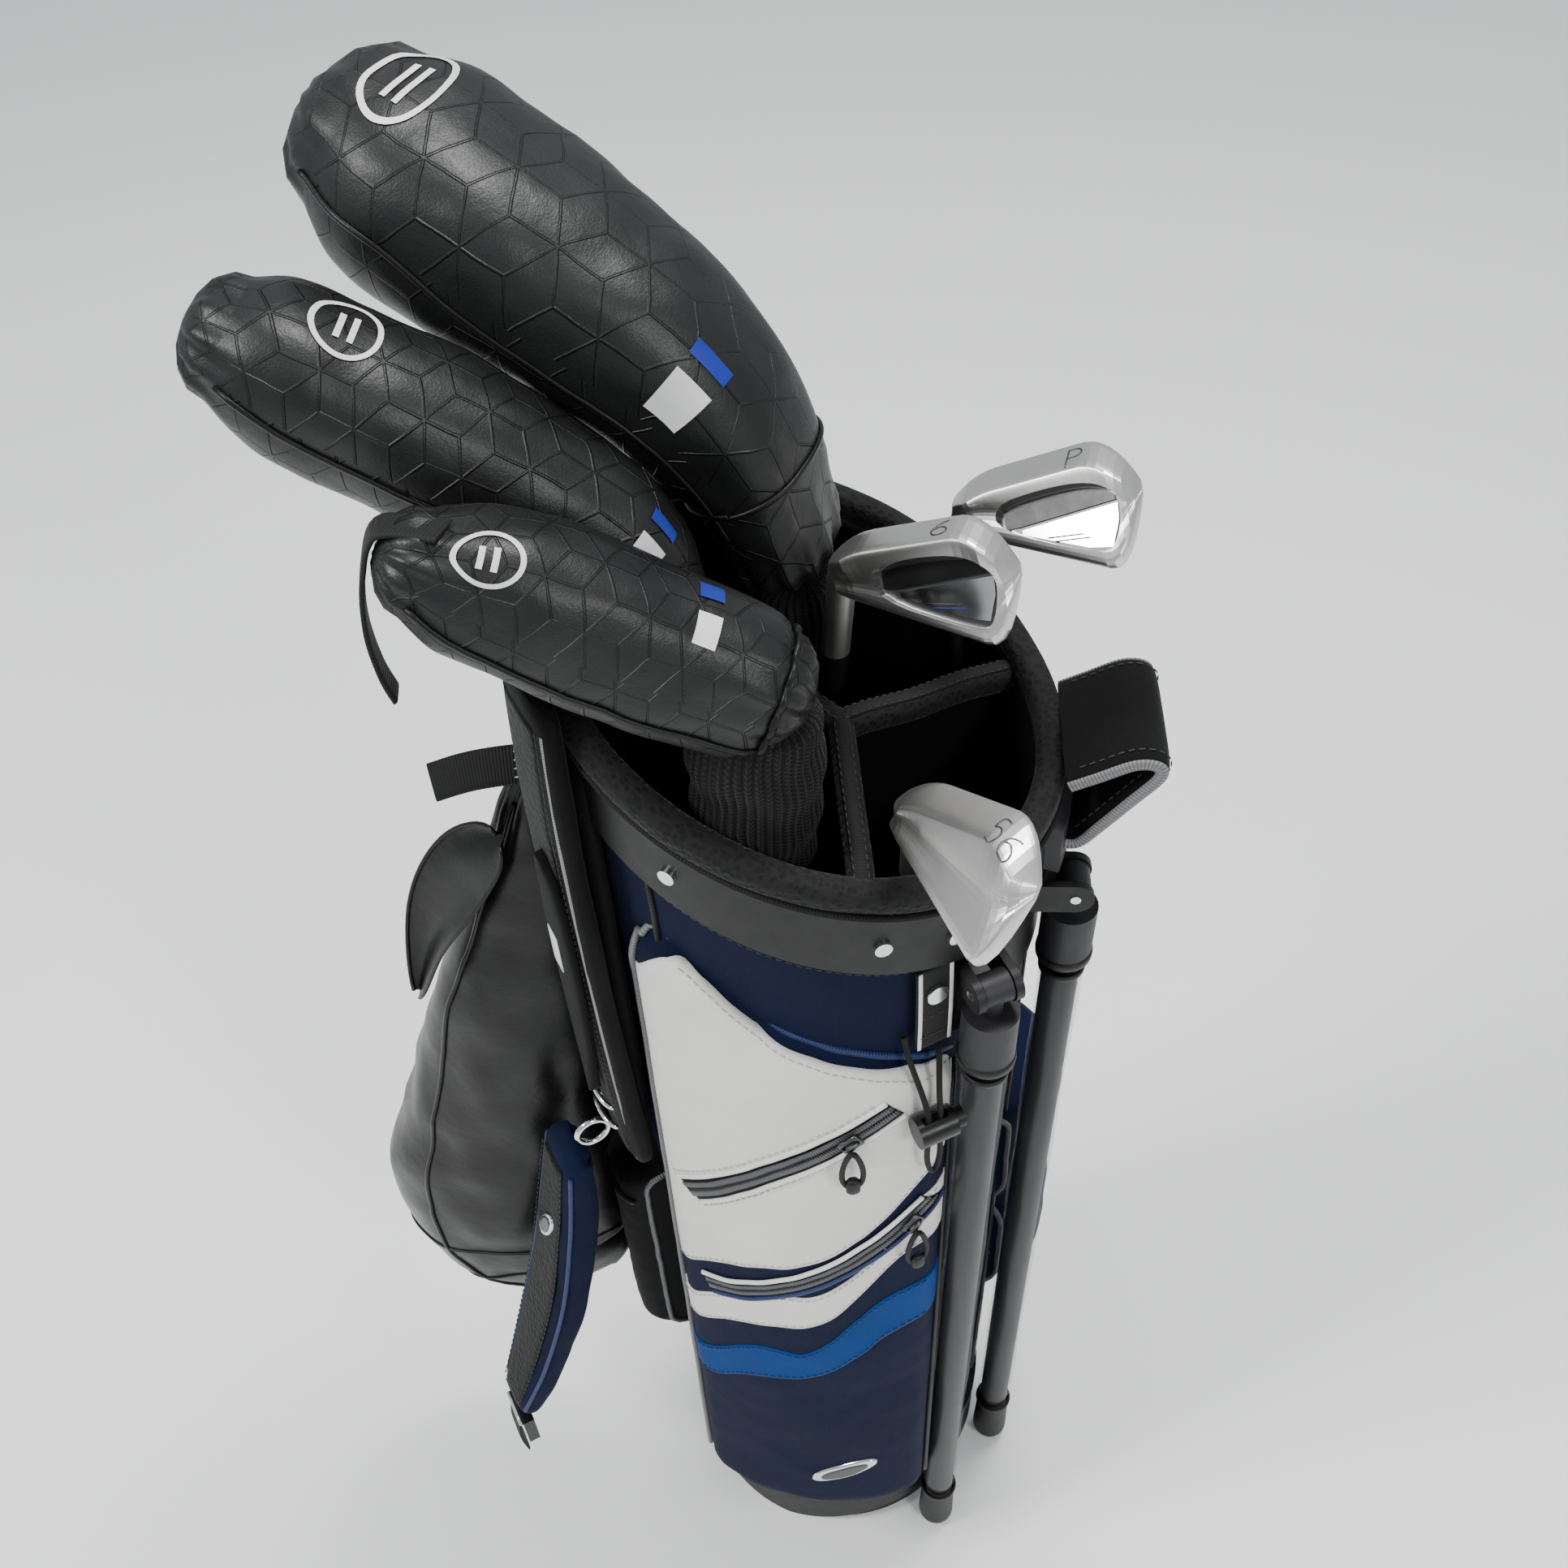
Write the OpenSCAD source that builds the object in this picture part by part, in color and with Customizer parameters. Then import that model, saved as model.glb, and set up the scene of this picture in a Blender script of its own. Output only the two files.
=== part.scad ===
// Junior golf stand bag with six clubs, as separate named pieces.
// Row frame in mm: origin at the centre of the base on the floor, +Z up,
// +X is the leg side, -X is the shoulder strap side, -Y is the front pocket side.

/* [Bag body] */

// outer radius of the moulded base
base_r = 100; // [90:1:115]
// height of the moulded base
boot_h = 70; // [50:1:90]
// outer radius of the body at the base
body_r_low = 97; // [88:0.5:110]
// outer radius of the body at the top
body_r_high = 112.5; // [100:0.5:125]
// wall thickness of the fabric body
wall = 3; // [2:0.5:5]
// height of the collar's centre
rim_z = 730; // [650:5:800]
// slope of the collar, strap side high
rim_slope = 23.05; // [0:0.05:30]
// outer radius of the collar
collar_r = 117.5; // [110:0.5:125]
// inner radius of the collar
collar_in = 111; // [104:0.5:115]
// height of the collar band
collar_h = 41; // [25:1:60]
// width of the padded divider bars
pad_w = 10; // [6:0.5:16]
// depth of the divider fabric below the bars
sheet_depth = 140; // [60:5:300]

/* [Stand legs] */

// direction the leg pair faces
leg_az = -10; // [-20:1:20]
// half the distance between the legs
leg_y = 38; // [30:1:50]
// outward yaw of each leg's swing
leg_yaw = 32; // [20:1:45]
// radius of the leg tube
leg_r = 9.5; // [6:0.5:11]
// height of the leg pivots
pivot_z = 628; // [560:1:660]
// distance of the leg pivots from the bag's axis
pivot_x = 125; // [120:1:135]
// distance of the feet from the bag's axis
foot_x = 109; // [104:1:120]

/* [Front pocket] */

// direction the front pocket faces
pocket_az = -68; // [-90:1:-50]
// half width of the front pocket, strap side
pocket_half = 80; // [60:1:84]
// half width of the front pocket's top, leg side
pocket_right = 69; // [60:1:70]
// half width of the front pocket's bottom, leg side
pocket_right_low = 60; // [50:1:61]
// radius of the pocket's curved face
pocket_r = 120; // [110:1:140]
// distance of the face's axis from the bag's axis
pocket_c = 19; // [10:1:24]
// lean of the pocket's face
pocket_lean = 2.2; // [0:0.1:4]
// height of the upper zip's middle
zip_hi_z = 521; // [500:1:530]
// sideways slope of the upper zip
zip_hi_slope = 39.6; // [30:0.1:42]
// outward slope of the upper zip
zip_hi_tilt = 20.7; // [10:0.1:25]
// height of the lower zip's middle
zip_lo_z = 408; // [395:1:415]
// sideways slope of the lower zip
zip_lo_slope = 36; // [28:0.1:40]
// outward slope of the lower zip, down
zip_lo_tilt = -31; // [-35:0.1:-20]

/* [Clubs] */

// radius of the club shafts
shaft_r = 5; // [4.5:0.1:6]
// radius of the grips
grip_r = 11.5; // [10:0.5:13]
// length of the grips
grip_len = 200; // [180:5:270]
// hosel radius of the irons
hosel_r = 6.6; // [6:0.1:7]
// lie angle of the irons
iron_lie = 61.5; // [58:0.5:66]
// wall thickness of the headcovers
cover_wall = 4; // [2:0.5:6]

/* [Hidden] */

$fn = 96;

cone_h = 716;
cone_z = 64;
y_centre = [20, -7];
floor_z = 38;
flap_hinge_x = 14;
flap_hinge_z = 9;
rod_x = 84;
rod_y = 30;
foot_z = 10;

navy = [0.07, 0.10, 0.24];
black = [0.05, 0.05, 0.06];
white = [0.85, 0.85, 0.83];
grey = [0.35, 0.36, 0.38];
steel = [0.72, 0.73, 0.74];

// ---------- helpers ----------

function unit(v) = v / norm(v);

// space below the sloped rim plane moved by off
module below(off) {
  translate([0, 0, rim_z + off])
    rotate([0, rim_slope, 0])
      translate([-400, -400, -1500])
        cube([800, 800, 1500]);
}

module slab(lo, hi) {
  difference() {
    below(hi);
    below(lo);
  }
}

module body_cone(grow) {
  translate([0, 0, cone_z])
    cylinder(h = cone_h, r1 = body_r_low + grow, r2 = body_r_high + grow);
}

module tube(h, ro, ri) {
  difference() {
    cylinder(h = h, r = ro);
    translate([0, 0, -1])
      cylinder(h = h + 2, r = ri);
  }
}

// Catmull-Rom point between p1 and p2
function cr(p0, p1, p2, p3, t) =
  0.5 * ((2 * p1) + (p2 - p0) * t + (2 * p0 - 5 * p1 + 4 * p2 - p3) * t * t
  + (3 * p1 - p0 - 3 * p2 + p3) * t * t * t);

// smooth a list of points, k steps for each span
function smooth(p, k) = [
  for (i = [0 : len(p) - 2])
    for (j = [0 : (i == len(p) - 2 ? k : k - 1)])
      cr(p[max(i - 1, 0)], p[i], p[i + 1], p[min(i + 2, len(p) - 1)], j / k)
];

function tangent(p, i) = unit(p[min(i + 1, len(p) - 1)] - p[max(i - 1, 0)]);

// a ring of n points round point c, tangent t, side direction near s
function ring(c, t, s, a, b, n) =
  let (u = unit(s - t * (s * t)), v = cross(t, u))
  [for (k = [0 : n - 1]) c + u * (a * cos(360 * k / n)) + v * (b * sin(360 * k / n))];

// closed solid through rings of equal length
module loft(rings) {
  m = len(rings);
  n = len(rings[0]);
  pts = [for (r = rings) for (p = r) p];
  sides = [for (i = [0 : m - 2]) for (k = [0 : n - 1])
    [i * n + k, (i + 1) * n + k, (i + 1) * n + (k + 1) % n, i * n + (k + 1) % n]];
  first = [for (k = [0 : n - 1]) k];
  last = [for (k = [n - 1 : -1 : 0]) (m - 1) * n + k];
  polyhedron(points = pts, faces = concat([first], [last], sides), convexity = 6);
}

// path rows are [x, y, z, a, b]: centre and the two half widths
module soft_tube(rows, side, k, n, grow) {
  s = smooth(rows, k);
  c = [for (r = s) [r[0], r[1], r[2]]];
  loft([for (i = [0 : len(s) - 1])
    ring(c[i], tangent(c, i), side, s[i][3] + grow, s[i][4] + grow, n)]);
}

// corner cutting of a closed outline
function cut_corners(p) = [
  for (i = [0 : len(p) - 1])
    for (t = [0.25, 0.75])
      p[i] * (1 - t) + p[(i + 1) % len(p)] * t
];

// ---------- bag body ----------

module leg_frame() {
  rotate([0, 0, leg_az])
    children();
}

module base_boot() {
  color(black)
  difference() {
    union() {
      tube(boot_h, base_r, base_r - 3.5);
      translate([0, 0, boot_h - 8])
        tube(8, base_r + 1.5, base_r - 1);
      translate([0, 0, floor_z - 4])
        cylinder(h = 4, r = base_r - 3);
      leg_frame()
        intersection() {
          cylinder(h = 6, r = base_r - 3);
          translate([-120, -120, 0])
            cube([127, 240, 6]);
        }
      leg_frame()
        for (s = [-1, 1])
          translate([4, s * 84 - 3, 0])
            cube([16, 6, floor_z - 2]);
    }
    leg_frame()
      translate([21, -150, 0])
        rotate([0, -16, 0])
          translate([0, 0, -60])
            cube([160, 300, 60]);
    leg_frame()
      translate([flap_hinge_x, 0, flap_hinge_z])
        rotate([90, 0, 0])
          cylinder(h = 176, r = 2, center = true);
    leg_frame()
      for (s = [-1, 1])
        translate([rod_x + 0.6, s * rod_y, 20])
          cylinder(h = 40, r = 3.6);
  }
}

module flap_pin() {
  color(steel)
    leg_frame()
      translate([flap_hinge_x, 0, flap_hinge_z])
        rotate([90, 0, 0])
          cylinder(h = 176, r = 2, center = true);
}

module base_flap() {
  color(grey)
    leg_frame()
      difference() {
        union() {
          intersection() {
            cylinder(h = 6, r = base_r - 4.5);
            translate([flap_hinge_x + 6, -120, 0])
              cube([120, 240, 6]);
          }
          for (y = [-70 : 28 : 70])
            translate([flap_hinge_x, y, flap_hinge_z])
              rotate([90, 0, 0])
                cylinder(h = 16, r = 5, center = true);
          for (y = [-70 : 28 : 70])
            translate([flap_hinge_x, y - 8, 4])
              cube([10, 16, 5]);
        }
        translate([flap_hinge_x, 0, flap_hinge_z])
          rotate([90, 0, 0])
            cylinder(h = 200, r = 2.06, center = true);
      }
}

module body_shell() {
  color(navy)
  difference() {
    intersection() {
      body_cone(0);
      below(-4.05 - collar_h);
    }
    body_cone(-wall);
    translate([0, 0, -1])
      cylinder(h = boot_h + 1.05, r = 200);
  }
}

module top_collar() {
  color(black)
  intersection() {
    translate([0, 0, 500])
      tube(400, collar_r, collar_in);
    slab(-4 - collar_h, -4);
  }
}

module rim_pad() {
  color(black)
  union() {
    intersection() {
      translate([0, 0, 500])
        tube(400, collar_r + 1.5, collar_in - 4);
      slab(-3.95, 5);
    }
    intersection() {
      translate([0, 0, 500])
        tube(400, collar_r - 1, collar_in - 2);
      slab(4.9, 8);
    }
  }
}

module y_bars(w, r) {
  intersection() {
    translate([0, 0, 400])
      cylinder(h = 500, r = r);
    translate([y_centre[0], y_centre[1], 400])
      union() {
        for (a = [-60, 60, 180])
          rotate([0, 0, a])
            translate([0, -w / 2, 0])
              cube([200, w, 500]);
        cylinder(h = 500, r = w / 2);
      }
  }
}

module divider() {
  color(black)
  union() {
    intersection() {
      y_bars(pad_w, collar_in - 4.3);
      slab(-20, -5);
    }
    intersection() {
      y_bars(1.6, 104);
      slab(-20 - sheet_depth, -19.9);
    }
  }
}

module stay_rods() {
  color(steel)
  for (a = [100, 180, -98])
    rotate([0, 0, a])
      translate([89, 0, floor_z + 0.3])
        rotate([0, 1.24, 0])
          cylinder(h = 590, r = 3.5, $fn = 32);
}

module actuator_rods() {
  color(steel)
  leg_frame()
    for (s = [-1, 1])
      translate([rod_x, s * rod_y, 6.6])
        rotate([0, 1.2, 0])
          cylinder(h = 570, r = 3, $fn = 32);
}

module strip(az, width, lo, hi) {
  rotate([0, 0, az])
    translate([0, -width / 2, lo])
      cube([300, width, hi - lo]);
}

module handle_housing() {
  color(grey)
  intersection() {
    translate([0, 0, 600])
      tube(200, collar_r + 7, collar_r + 0.05);
    union() {
      intersection() {
        slab(-34, -6);
        strip(22, 84, 600, 800);
      }
      intersection() {
        slab(-56, -33.9);
        strip(30, 62, 600, 800);
      }
    }
  }
}

module grab_handle() {
  color(black)
  rotate([0, 0, 22])
    difference() {
      translate([0, 35, 0])
        rotate([90, 0, 0])
          linear_extrude(height = 70)
            difference() {
              polygon([
                [118, 696], [140, 710], [156, 712], [163, 707], [162, 699],
                [150, 682], [138, 664], [128, 652], [118, 650]
              ]);
              polygon([
                [120, 688], [141, 702], [152, 704], [154, 701], [144, 688],
                [132, 670], [124, 661], [118, 660]
              ]);
            }
      rotate([0, 0, -22])
        translate([0, 0, 500])
          cylinder(h = 400, r = collar_r + 7.1);
    }
}

module webbing_loop() {
  color(black)
  rotate([0, 0, -37])
    translate([112.4, -9.5, 588])
      cube([4.6, 19, 54]);
}

module collar_rivets() {
  color(steel)
  union() {
    for (a = [-150, -95, -50, -33, -20, 75, 130])
      rotate([0, 0, a])
        translate([collar_r + 0.05, 0, rim_z - 26 - tan(rim_slope) * collar_r * cos(a)])
          rotate([0, 90, 0])
            cylinder(h = 2.2, r = 4, $fn = 32);
    rotate([0, 0, -37])
      translate([117.05, 0, 626])
        rotate([0, 90, 0])
          cylinder(h = 2, r = 5.5, $fn = 32);
  }
}

// ---------- stand legs ----------

module at_pivot(s) {
  leg_frame()
    translate([pivot_x, s * leg_y, pivot_z])
      rotate([0, 0, s * leg_yaw])
        children();
}

module leg_bracket() {
  color(black)
  difference() {
    union() {
      leg_frame()
        intersection() {
          translate([0, 0, 584])
            cylinder(h = 46, r = 114);
          translate([0, -42, 584])
            cube([130, 84, 46]);
        }
      for (s = [-1, 1])
        at_pivot(s)
          for (e = [-11.5, 7.5])
            translate([0, e, 0])
              union() {
                rotate([-90, 0, 0])
                  cylinder(h = 4, r = 9);
                translate([-22, 0, -9])
                  cube([22, 4, 18]);
              }
    }
    body_cone(0.2);
    for (s = [-1, 1])
      at_pivot(s)
        rotate([90, 0, 0])
          cylinder(h = 30, r = 2.5, center = true, $fn = 32);
    for (s = [-1, 1])
      at_pivot(s)
        translate([-14, -7.5, -50])
          cube([40, 15, 90]);
    translate([0, 0, 634])
      cylinder(h = 40, r = collar_r + 0.4);
  }
}

module leg_pivot_pins() {
  color(steel)
  for (s = [-1, 1])
    at_pivot(s)
      rotate([90, 0, 0])
        cylinder(h = 24, r = 2.5, center = true, $fn = 32);
}

// puts children on the leg's own axis, z = 0 at the pivot and pointing down the leg
module on_leg(s) {
  leg_frame()
    translate([pivot_x, s * leg_y, pivot_z])
      rotate([0, 180 + atan((pivot_x - foot_x) / (pivot_z - foot_z)), 0])
        children();
}

leg_len = sqrt(pow(pivot_x - foot_x, 2) + pow(pivot_z - foot_z, 2));

module leg_tube(s) {
  color(grey)
    on_leg(s)
      translate([0, 0, 22])
        tube(leg_len - 44, leg_r, leg_r - 1.5);
}

module leg_knuckle(s) {
  color(black)
  difference() {
    union() {
      at_pivot(s)
        rotate([90, 0, 0])
          cylinder(h = 14, r = 8, center = true);
      on_leg(s)
        translate([0, 0, 3])
          cylinder(h = 16, r = 5.5);
      on_leg(s)
        translate([0, 0, 17])
          tube(30, leg_r + 4, leg_r);
      on_leg(s)
        translate([0, 0, 16])
          cylinder(h = 5.9, r = leg_r + 4);
    }
    at_pivot(s)
      rotate([90, 0, 0])
        cylinder(h = 30, r = 2.56, center = true, $fn = 32);
  }
}

module leg_foot(s) {
  color(black)
    on_leg(s)
      difference() {
        union() {
          translate([0, 0, leg_len - 40])
            cylinder(h = 38, r1 = leg_r + 1.5, r2 = leg_r + 2.5);
          translate([0, 0, leg_len - 2])
            intersection() {
              sphere(r = leg_r + 2.5);
              cylinder(h = 7, r = leg_r + 3);
            }
        }
        translate([0, 0, leg_len - 61.9])
          cylinder(h = 40, r = leg_r);
      }
}

// ---------- pockets and straps ----------

module pocket_frame() {
  rotate([0, 0, pocket_az])
    children();
}

module pocket_face(r) {
  translate([pocket_c, 0, 60])
    rotate([0, -pocket_lean, 0])
      cylinder(h = 700, r = r);
}

// left and right edges, and the top edge that falls towards the legs
module pocket_side() {
  translate([60, 0, 0])
    rotate([90, 0, 90])
      linear_extrude(height = 120)
        polygon([
          [-pocket_half, 74], [pocket_right_low, 74],
          [pocket_right, 552], [55, 566], [30, 581],
          [5, 595], [-20, 612], [-45, 638],
          [-60, 651], [-72, 650], [-pocket_half, 638]
        ]);
}

module front_pocket() {
  color(white)
  pocket_frame()
    difference() {
      intersection() {
        pocket_face(pocket_r);
        pocket_side();
        translate([0, 0, 72])
          cylinder(h = 620, r1 = 100, r2 = 480);
      }
      body_cone(0.3);
    }
}

// a point on the pocket face in the pocket frame
function face_lean(z) = (z - 60) * tan(pocket_lean);
function face_x(y, z) = pocket_c - face_lean(z) + sqrt(pocket_r * pocket_r - y * y);

// height at y of a zip that lies in the plane sloped sideways by slope and outwards by tilt
function zip_height(y, z, slope, tilt) =
  z + (y * tan(slope) + (sqrt(pocket_r * pocket_r - y * y) - pocket_r) * tan(tilt))
  / (1 + tan(pocket_lean) * tan(tilt));

module zip_band(z, slope, tilt, from, to, w) {
  intersection() {
    difference() {
      pocket_face(pocket_r + 1.2);
      pocket_face(pocket_r + 0.05);
    }
    translate([face_x(0, z), 0, z])
      rotate([0, -tilt, 0])
        rotate([atan(tan(slope) * cos(tilt)), 0, 0])
          cube([200, 400, w], center = true);
    translate([40, from, 0])
      cube([200, to - from, 700]);
  }
}

module zip_tapes() {
  color(grey)
  pocket_frame()
    union() {
      zip_band(zip_hi_z, zip_hi_slope, zip_hi_tilt, -66, 42, 15);
      zip_band(zip_lo_z, zip_lo_slope, zip_lo_tilt, -62, 61, 13);
    }
}

module zip_slider(y, z, slope) {
  x = face_x(y, z);
  a = asin(y / pocket_r);
  pocket_frame()
    translate([x, y, z])
      rotate([0, 0, a])
        rotate([slope, 0, 0])
          union() {
            translate([2.6, -6, -4])
              cube([3, 12, 8]);
            translate([5.5, -3, -2])
              cube([2.4, 6, 4]);
            rotate([-slope, 0, 0])
              translate([6.6, 0, -14])
                rotate([90, 0, 90])
                  difference() {
                    union() {
                      cylinder(h = 2.4, r = 9, center = true, $fn = 40);
                      translate([0, 8, 0])
                        cube([7, 14, 2.4], center = true);
                    }
                    cylinder(h = 6, r = 6.8, center = true, $fn = 40);
                    translate([0, 6, 0])
                      cube([2.6, 9, 6], center = true);
                  }
          }
}

module slider_upper() {
  color(black)
    zip_slider(20, zip_height(20, zip_hi_z, zip_hi_slope, zip_hi_tilt), zip_hi_slope - 3);
}

module slider_lower() {
  color(black)
    zip_slider(50, zip_height(50, zip_lo_z, zip_lo_slope, zip_lo_tilt), zip_lo_slope + 9);
}

module side_pod(az, r, c, half, lo, hi) {
  rotate([0, 0, az])
    difference() {
      intersection() {
        translate([c, 0, lo])
          cylinder(h = hi - lo, r = r);
        translate([60, -half, lo])
          cube([160, 2 * half, hi - lo]);
      }
      intersection() {
        translate([c, 0, lo + 3])
          cylinder(h = hi - lo - 6, r = r - 3);
        translate([60, -half + 3, lo + 3])
          cube([160, 2 * half - 6, hi - lo - 6]);
      }
      body_cone(0.3);
    }
}

module ball_pocket() {
  color(navy)
    side_pod(41, 54, 86, 50, 215, 400);
}

module side_pouch() {
  color(black)
    side_pod(-135, 42, 92, 23, 232, 405);
}

function polar(r, az, z) = [r * cos(az), r * sin(az), z];

module hood_pouch() {
  az = -156;
  rows = [for (q = [[672, 5, 5], [664, 12, 11], [610, 24, 19], [520, 43, 30], [420, 62, 40],
                    [330, 76, 45], [270, 75, 43], [240, 56, 32], [226, 24, 14]])
    concat(polar(121 + q[1], az, q[0]), [q[1], q[2]])];
  color(black)
    soft_tube(rows, polar(1, az, 0), 2, 22, 0);
}

module strap_black() {
  az = -128;
  rows = [for (q = [[776, 125, 3], [768, 126, 6.5], [700, 128, 7], [600, 127, 7], [500, 124, 7],
                    [452, 121, 6.5], [444, 120, 3]])
    concat(polar(q[1], az, q[0]), [q[2], q[2] * 4])];
  color(black)
    soft_tube(rows, polar(1, az, 0), 2, 20, 0);
}

module strap_navy() {
  rows = [[-98, -112, 446, 5, 12], [-102, -117, 438, 10, 20], [-106, -124, 390, 12, 25],
          [-113, -138, 330, 12, 27], [-125, -157, 268, 11, 24], [-136, -174, 226, 8, 18],
          [-137, -176, 220, 3, 10]];
  color(navy)
    soft_tube(rows, polar(1, -128, 0), 2, 20, 0);
}

module strap_ring() {
  color(steel)
    translate(polar(141.5, -128, 460))
      rotate([0, 0, -128])
        rotate([90, 0, 0])
          rotate_extrude($fn = 48)
            translate([9, 0])
              circle(r = 1.8, $fn = 20);
}

module strap_buckle() {
  color(black)
    translate([-139, -178, 202])
      rotate([0, 0, -128])
        difference() {
          cube([7, 34, 26], center = true);
          translate([0, 0, 5])
            cube([9, 26, 6], center = true);
          translate([0, 0, -5])
            cube([9, 26, 6], center = true);
        }
}

// ---------- elastic cord and lock ----------

lock_az = -40;
lock_r = 130;
lock_z = 540;
cord_route = [
  polar(113, -44, 596), polar(118, -43.5, 582), polar(126, -42, 562), polar(130, -41.4, 548),
  polar(130, -41.4, 532), polar(130, -41.6, 516), polar(130, -41, 505), polar(130, -40, 501),
  polar(130, -39, 505), polar(130, -38.4, 516), polar(130, -38.6, 532), polar(130, -38.6, 548),
  polar(126, -38, 562), polar(118, -36, 580), polar(113, -35, 584)
];

module elastic_cord() {
  rows = [for (p = cord_route) concat(p, [1.5, 1.5])];
  color(black)
    soft_tube(rows, [0.77, -0.64, 0.2], 4, 8, 0);
}

module at_lock() {
  translate(polar(lock_r, lock_az, lock_z))
    rotate([0, 0, lock_az])
      children();
}

lock_barrel = [20, 8];
lock_slot = [4.6, 13, 30];
button_size = [6.5, 5.4];
button_rest = 8.7;
button_travel = 3.6;
button_gap = 0.2;

module cord_lock() {
  color(black)
    at_lock()
      difference() {
        rotate([90, 0, 0])
          cylinder(h = lock_barrel[0], r = lock_barrel[1], center = true);
        cube(lock_slot, center = true);
        translate([0, button_rest - button_travel, 0])
          rotate([-90, 0, 0])
            cylinder(h = lock_barrel[0] / 2, r = button_size[1] + button_gap);
      }
}

module cord_lock_button() {
  color(black)
    at_lock()
      translate([0, button_rest, 0])
        rotate([-90, 0, 0])
          cylinder(h = button_size[0], r = button_size[1]);
}

// ---------- clubs ----------

// puts children on a club axis through butt and top, toe towards azimuth head
module club(butt, top, head) {
  d = top - butt;
  az = atan2(d[1], d[0]);
  tilt = acos(d[2] / norm(d));
  translate(butt)
    rotate([0, tilt, az])
      rotate([0, 0, head - az])
        children();
}

module grip() {
  color(black)
  difference() {
    union() {
      translate([0, 0, 3])
        cylinder(h = grip_len - 3, r1 = grip_r, r2 = 8);
      intersection() {
        translate([0, 0, 14])
          sphere(r = 17.5);
        cylinder(h = 3.01, r = grip_r);
      }
    }
    translate([0, 0, 6])
      cylinder(h = 400, r = shaft_r + 0.05);
  }
}

module shaft(len) {
  color(steel)
    translate([0, 0, 6.1])
      tube(len - 6.1, shaft_r, shaft_r - 0.8);
}

// points of an iron blade's section at station s; loft a, sole w, back depth b
function lo_edge(s) = s < 14 ? 7 * pow((14 - s) / 22, 2)
  : s > 52 ? 24 * pow((s - 52) / 25, 2.4) : 0;
function hi_edge(s, top) = s < 60 ? 25 + (top - 25) * (s + 8) / 68
  : top - (top - 24) * pow((s - 60) / 17, 2.4);

function blade_section(s, a, w, b, top) =
  let (lo = lo_edge(s), hi = max(hi_edge(s, top), lo + 1), g = hi - lo,
       e = s < 2 ? 0.72 + 0.28 * (s + 8) / 10 : s > 64 ? 1 - 0.55 * pow((s - 64) / 13, 2) : 1,
       k = min(1, g / 26), sw = w * e * k, th = lo + sw * sin(a), dh = sw * cos(a))
  [[lo + 0.4, -0.2], [lo + 0.35 * g, 0], [hi - 0.25 * g, 0], [hi - 0.3, -0.1],
   [hi, b * 0.55 * k], [hi - 3 * k, b * 0.95 * k],
   [lo + 0.62 * g, b * k * e], [min(th + 0.16 * g, lo + 0.55 * g), dh * 0.80 + b * 0.12 * k],
   [th + 1.2 * k, dh], [th - 1.6 * k, dh + 0.2],
   [lo + sw * sin(a) * 0.5 - 1.4 * k, dh * 0.5 + 1.2 * k], [lo - 0.9 * k, dh * 0.15]];

function stations(n, l0, l1) = [for (i = [0 : n])
  let (t = i / n) l0 + (l1 - l0) * (0.6 * t + 0.4 * (1 - cos(180 * t)) / 2)];

// blade coordinates [s, h, -d] to the club's own frame, sole point at height zs
module blade_frame(a, zs) {
  t = [sin(iron_lie), 0, cos(iron_lie)];
  u = [cos(iron_lie), 0, -sin(iron_lie)];
  n = [0, 1, 0];
  f = n * cos(a) + u * sin(a);
  h = u * cos(a) - n * sin(a);
  o = [0, 0, zs] + n * 5.5;
  multmatrix([
    [t[0], h[0], f[0], o[0]],
    [t[1], h[1], f[1], o[1]],
    [t[2], h[2], f[2], o[2]],
    [0, 0, 0, 1]
  ])
    children();
}

module blade(a, w, b, top) {
  loft([for (s = stations(24, -8, 76))
    let (q = cut_corners(cut_corners(blade_section(s, a, w, b, top))))
    [for (i = [len(q) - 1 : -1 : 0]) [s, q[i][0], -q[i][1]]]]);
}

function cavity_outline(a, w, top, inset) =
  let (hb = w * sin(a) + 5.5 + inset)
  cut_corners(cut_corners([
    [13 + inset, hb], [38, hb - 1.5], [58, hb + 0.5], [69 - inset, hb + 8],
    [69.5 - inset, hb + 15], [64 - inset, top - 6.5 - inset], [52, top - 8.5 - inset],
    [13 + inset, 24 + (top - 25) * 0.3 - 4 - inset]
  ]));

module iron_head(a, w, b, top, cavity, hosel_len) {
  zs = 62;
  color(steel)
  difference() {
    union() {
      blade_frame(a, zs)
        difference() {
          blade(a, w, b, top);
          if (cavity)
            translate([0, 0, -64.2])
              linear_extrude(height = 60)
                polygon(cavity_outline(a, w, top, 0));
        }
      rotate([0, 0, 4])
        rotate_extrude($fn = 36)
          polygon([
            [0, 0], [hosel_r, 0], [hosel_r, hosel_len - 15], [hosel_r - 0.5, hosel_len - 8],
            [hosel_r - 1.8, hosel_len - 4], [hosel_r - 4, hosel_len - 1], [0, hosel_len]
          ]);
    }
    translate([0, 0, -1])
      cylinder(h = 29, r = shaft_r + 0.05, $fn = 40);
  }
}

module iron_insert(a, w, top) {
  color(grey)
    blade_frame(a, 62)
      translate([0, 0, -5.4])
        linear_extrude(height = 1.2)
          polygon(cavity_outline(a, w, top, 0.5));
}

module ferrule() {
  color(black)
    difference() {
      cylinder(h = 18, r1 = shaft_r + 0.9, r2 = hosel_r);
      translate([0, 0, -1])
        cylinder(h = 30, r = shaft_r + 0.05);
    }
}

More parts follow.
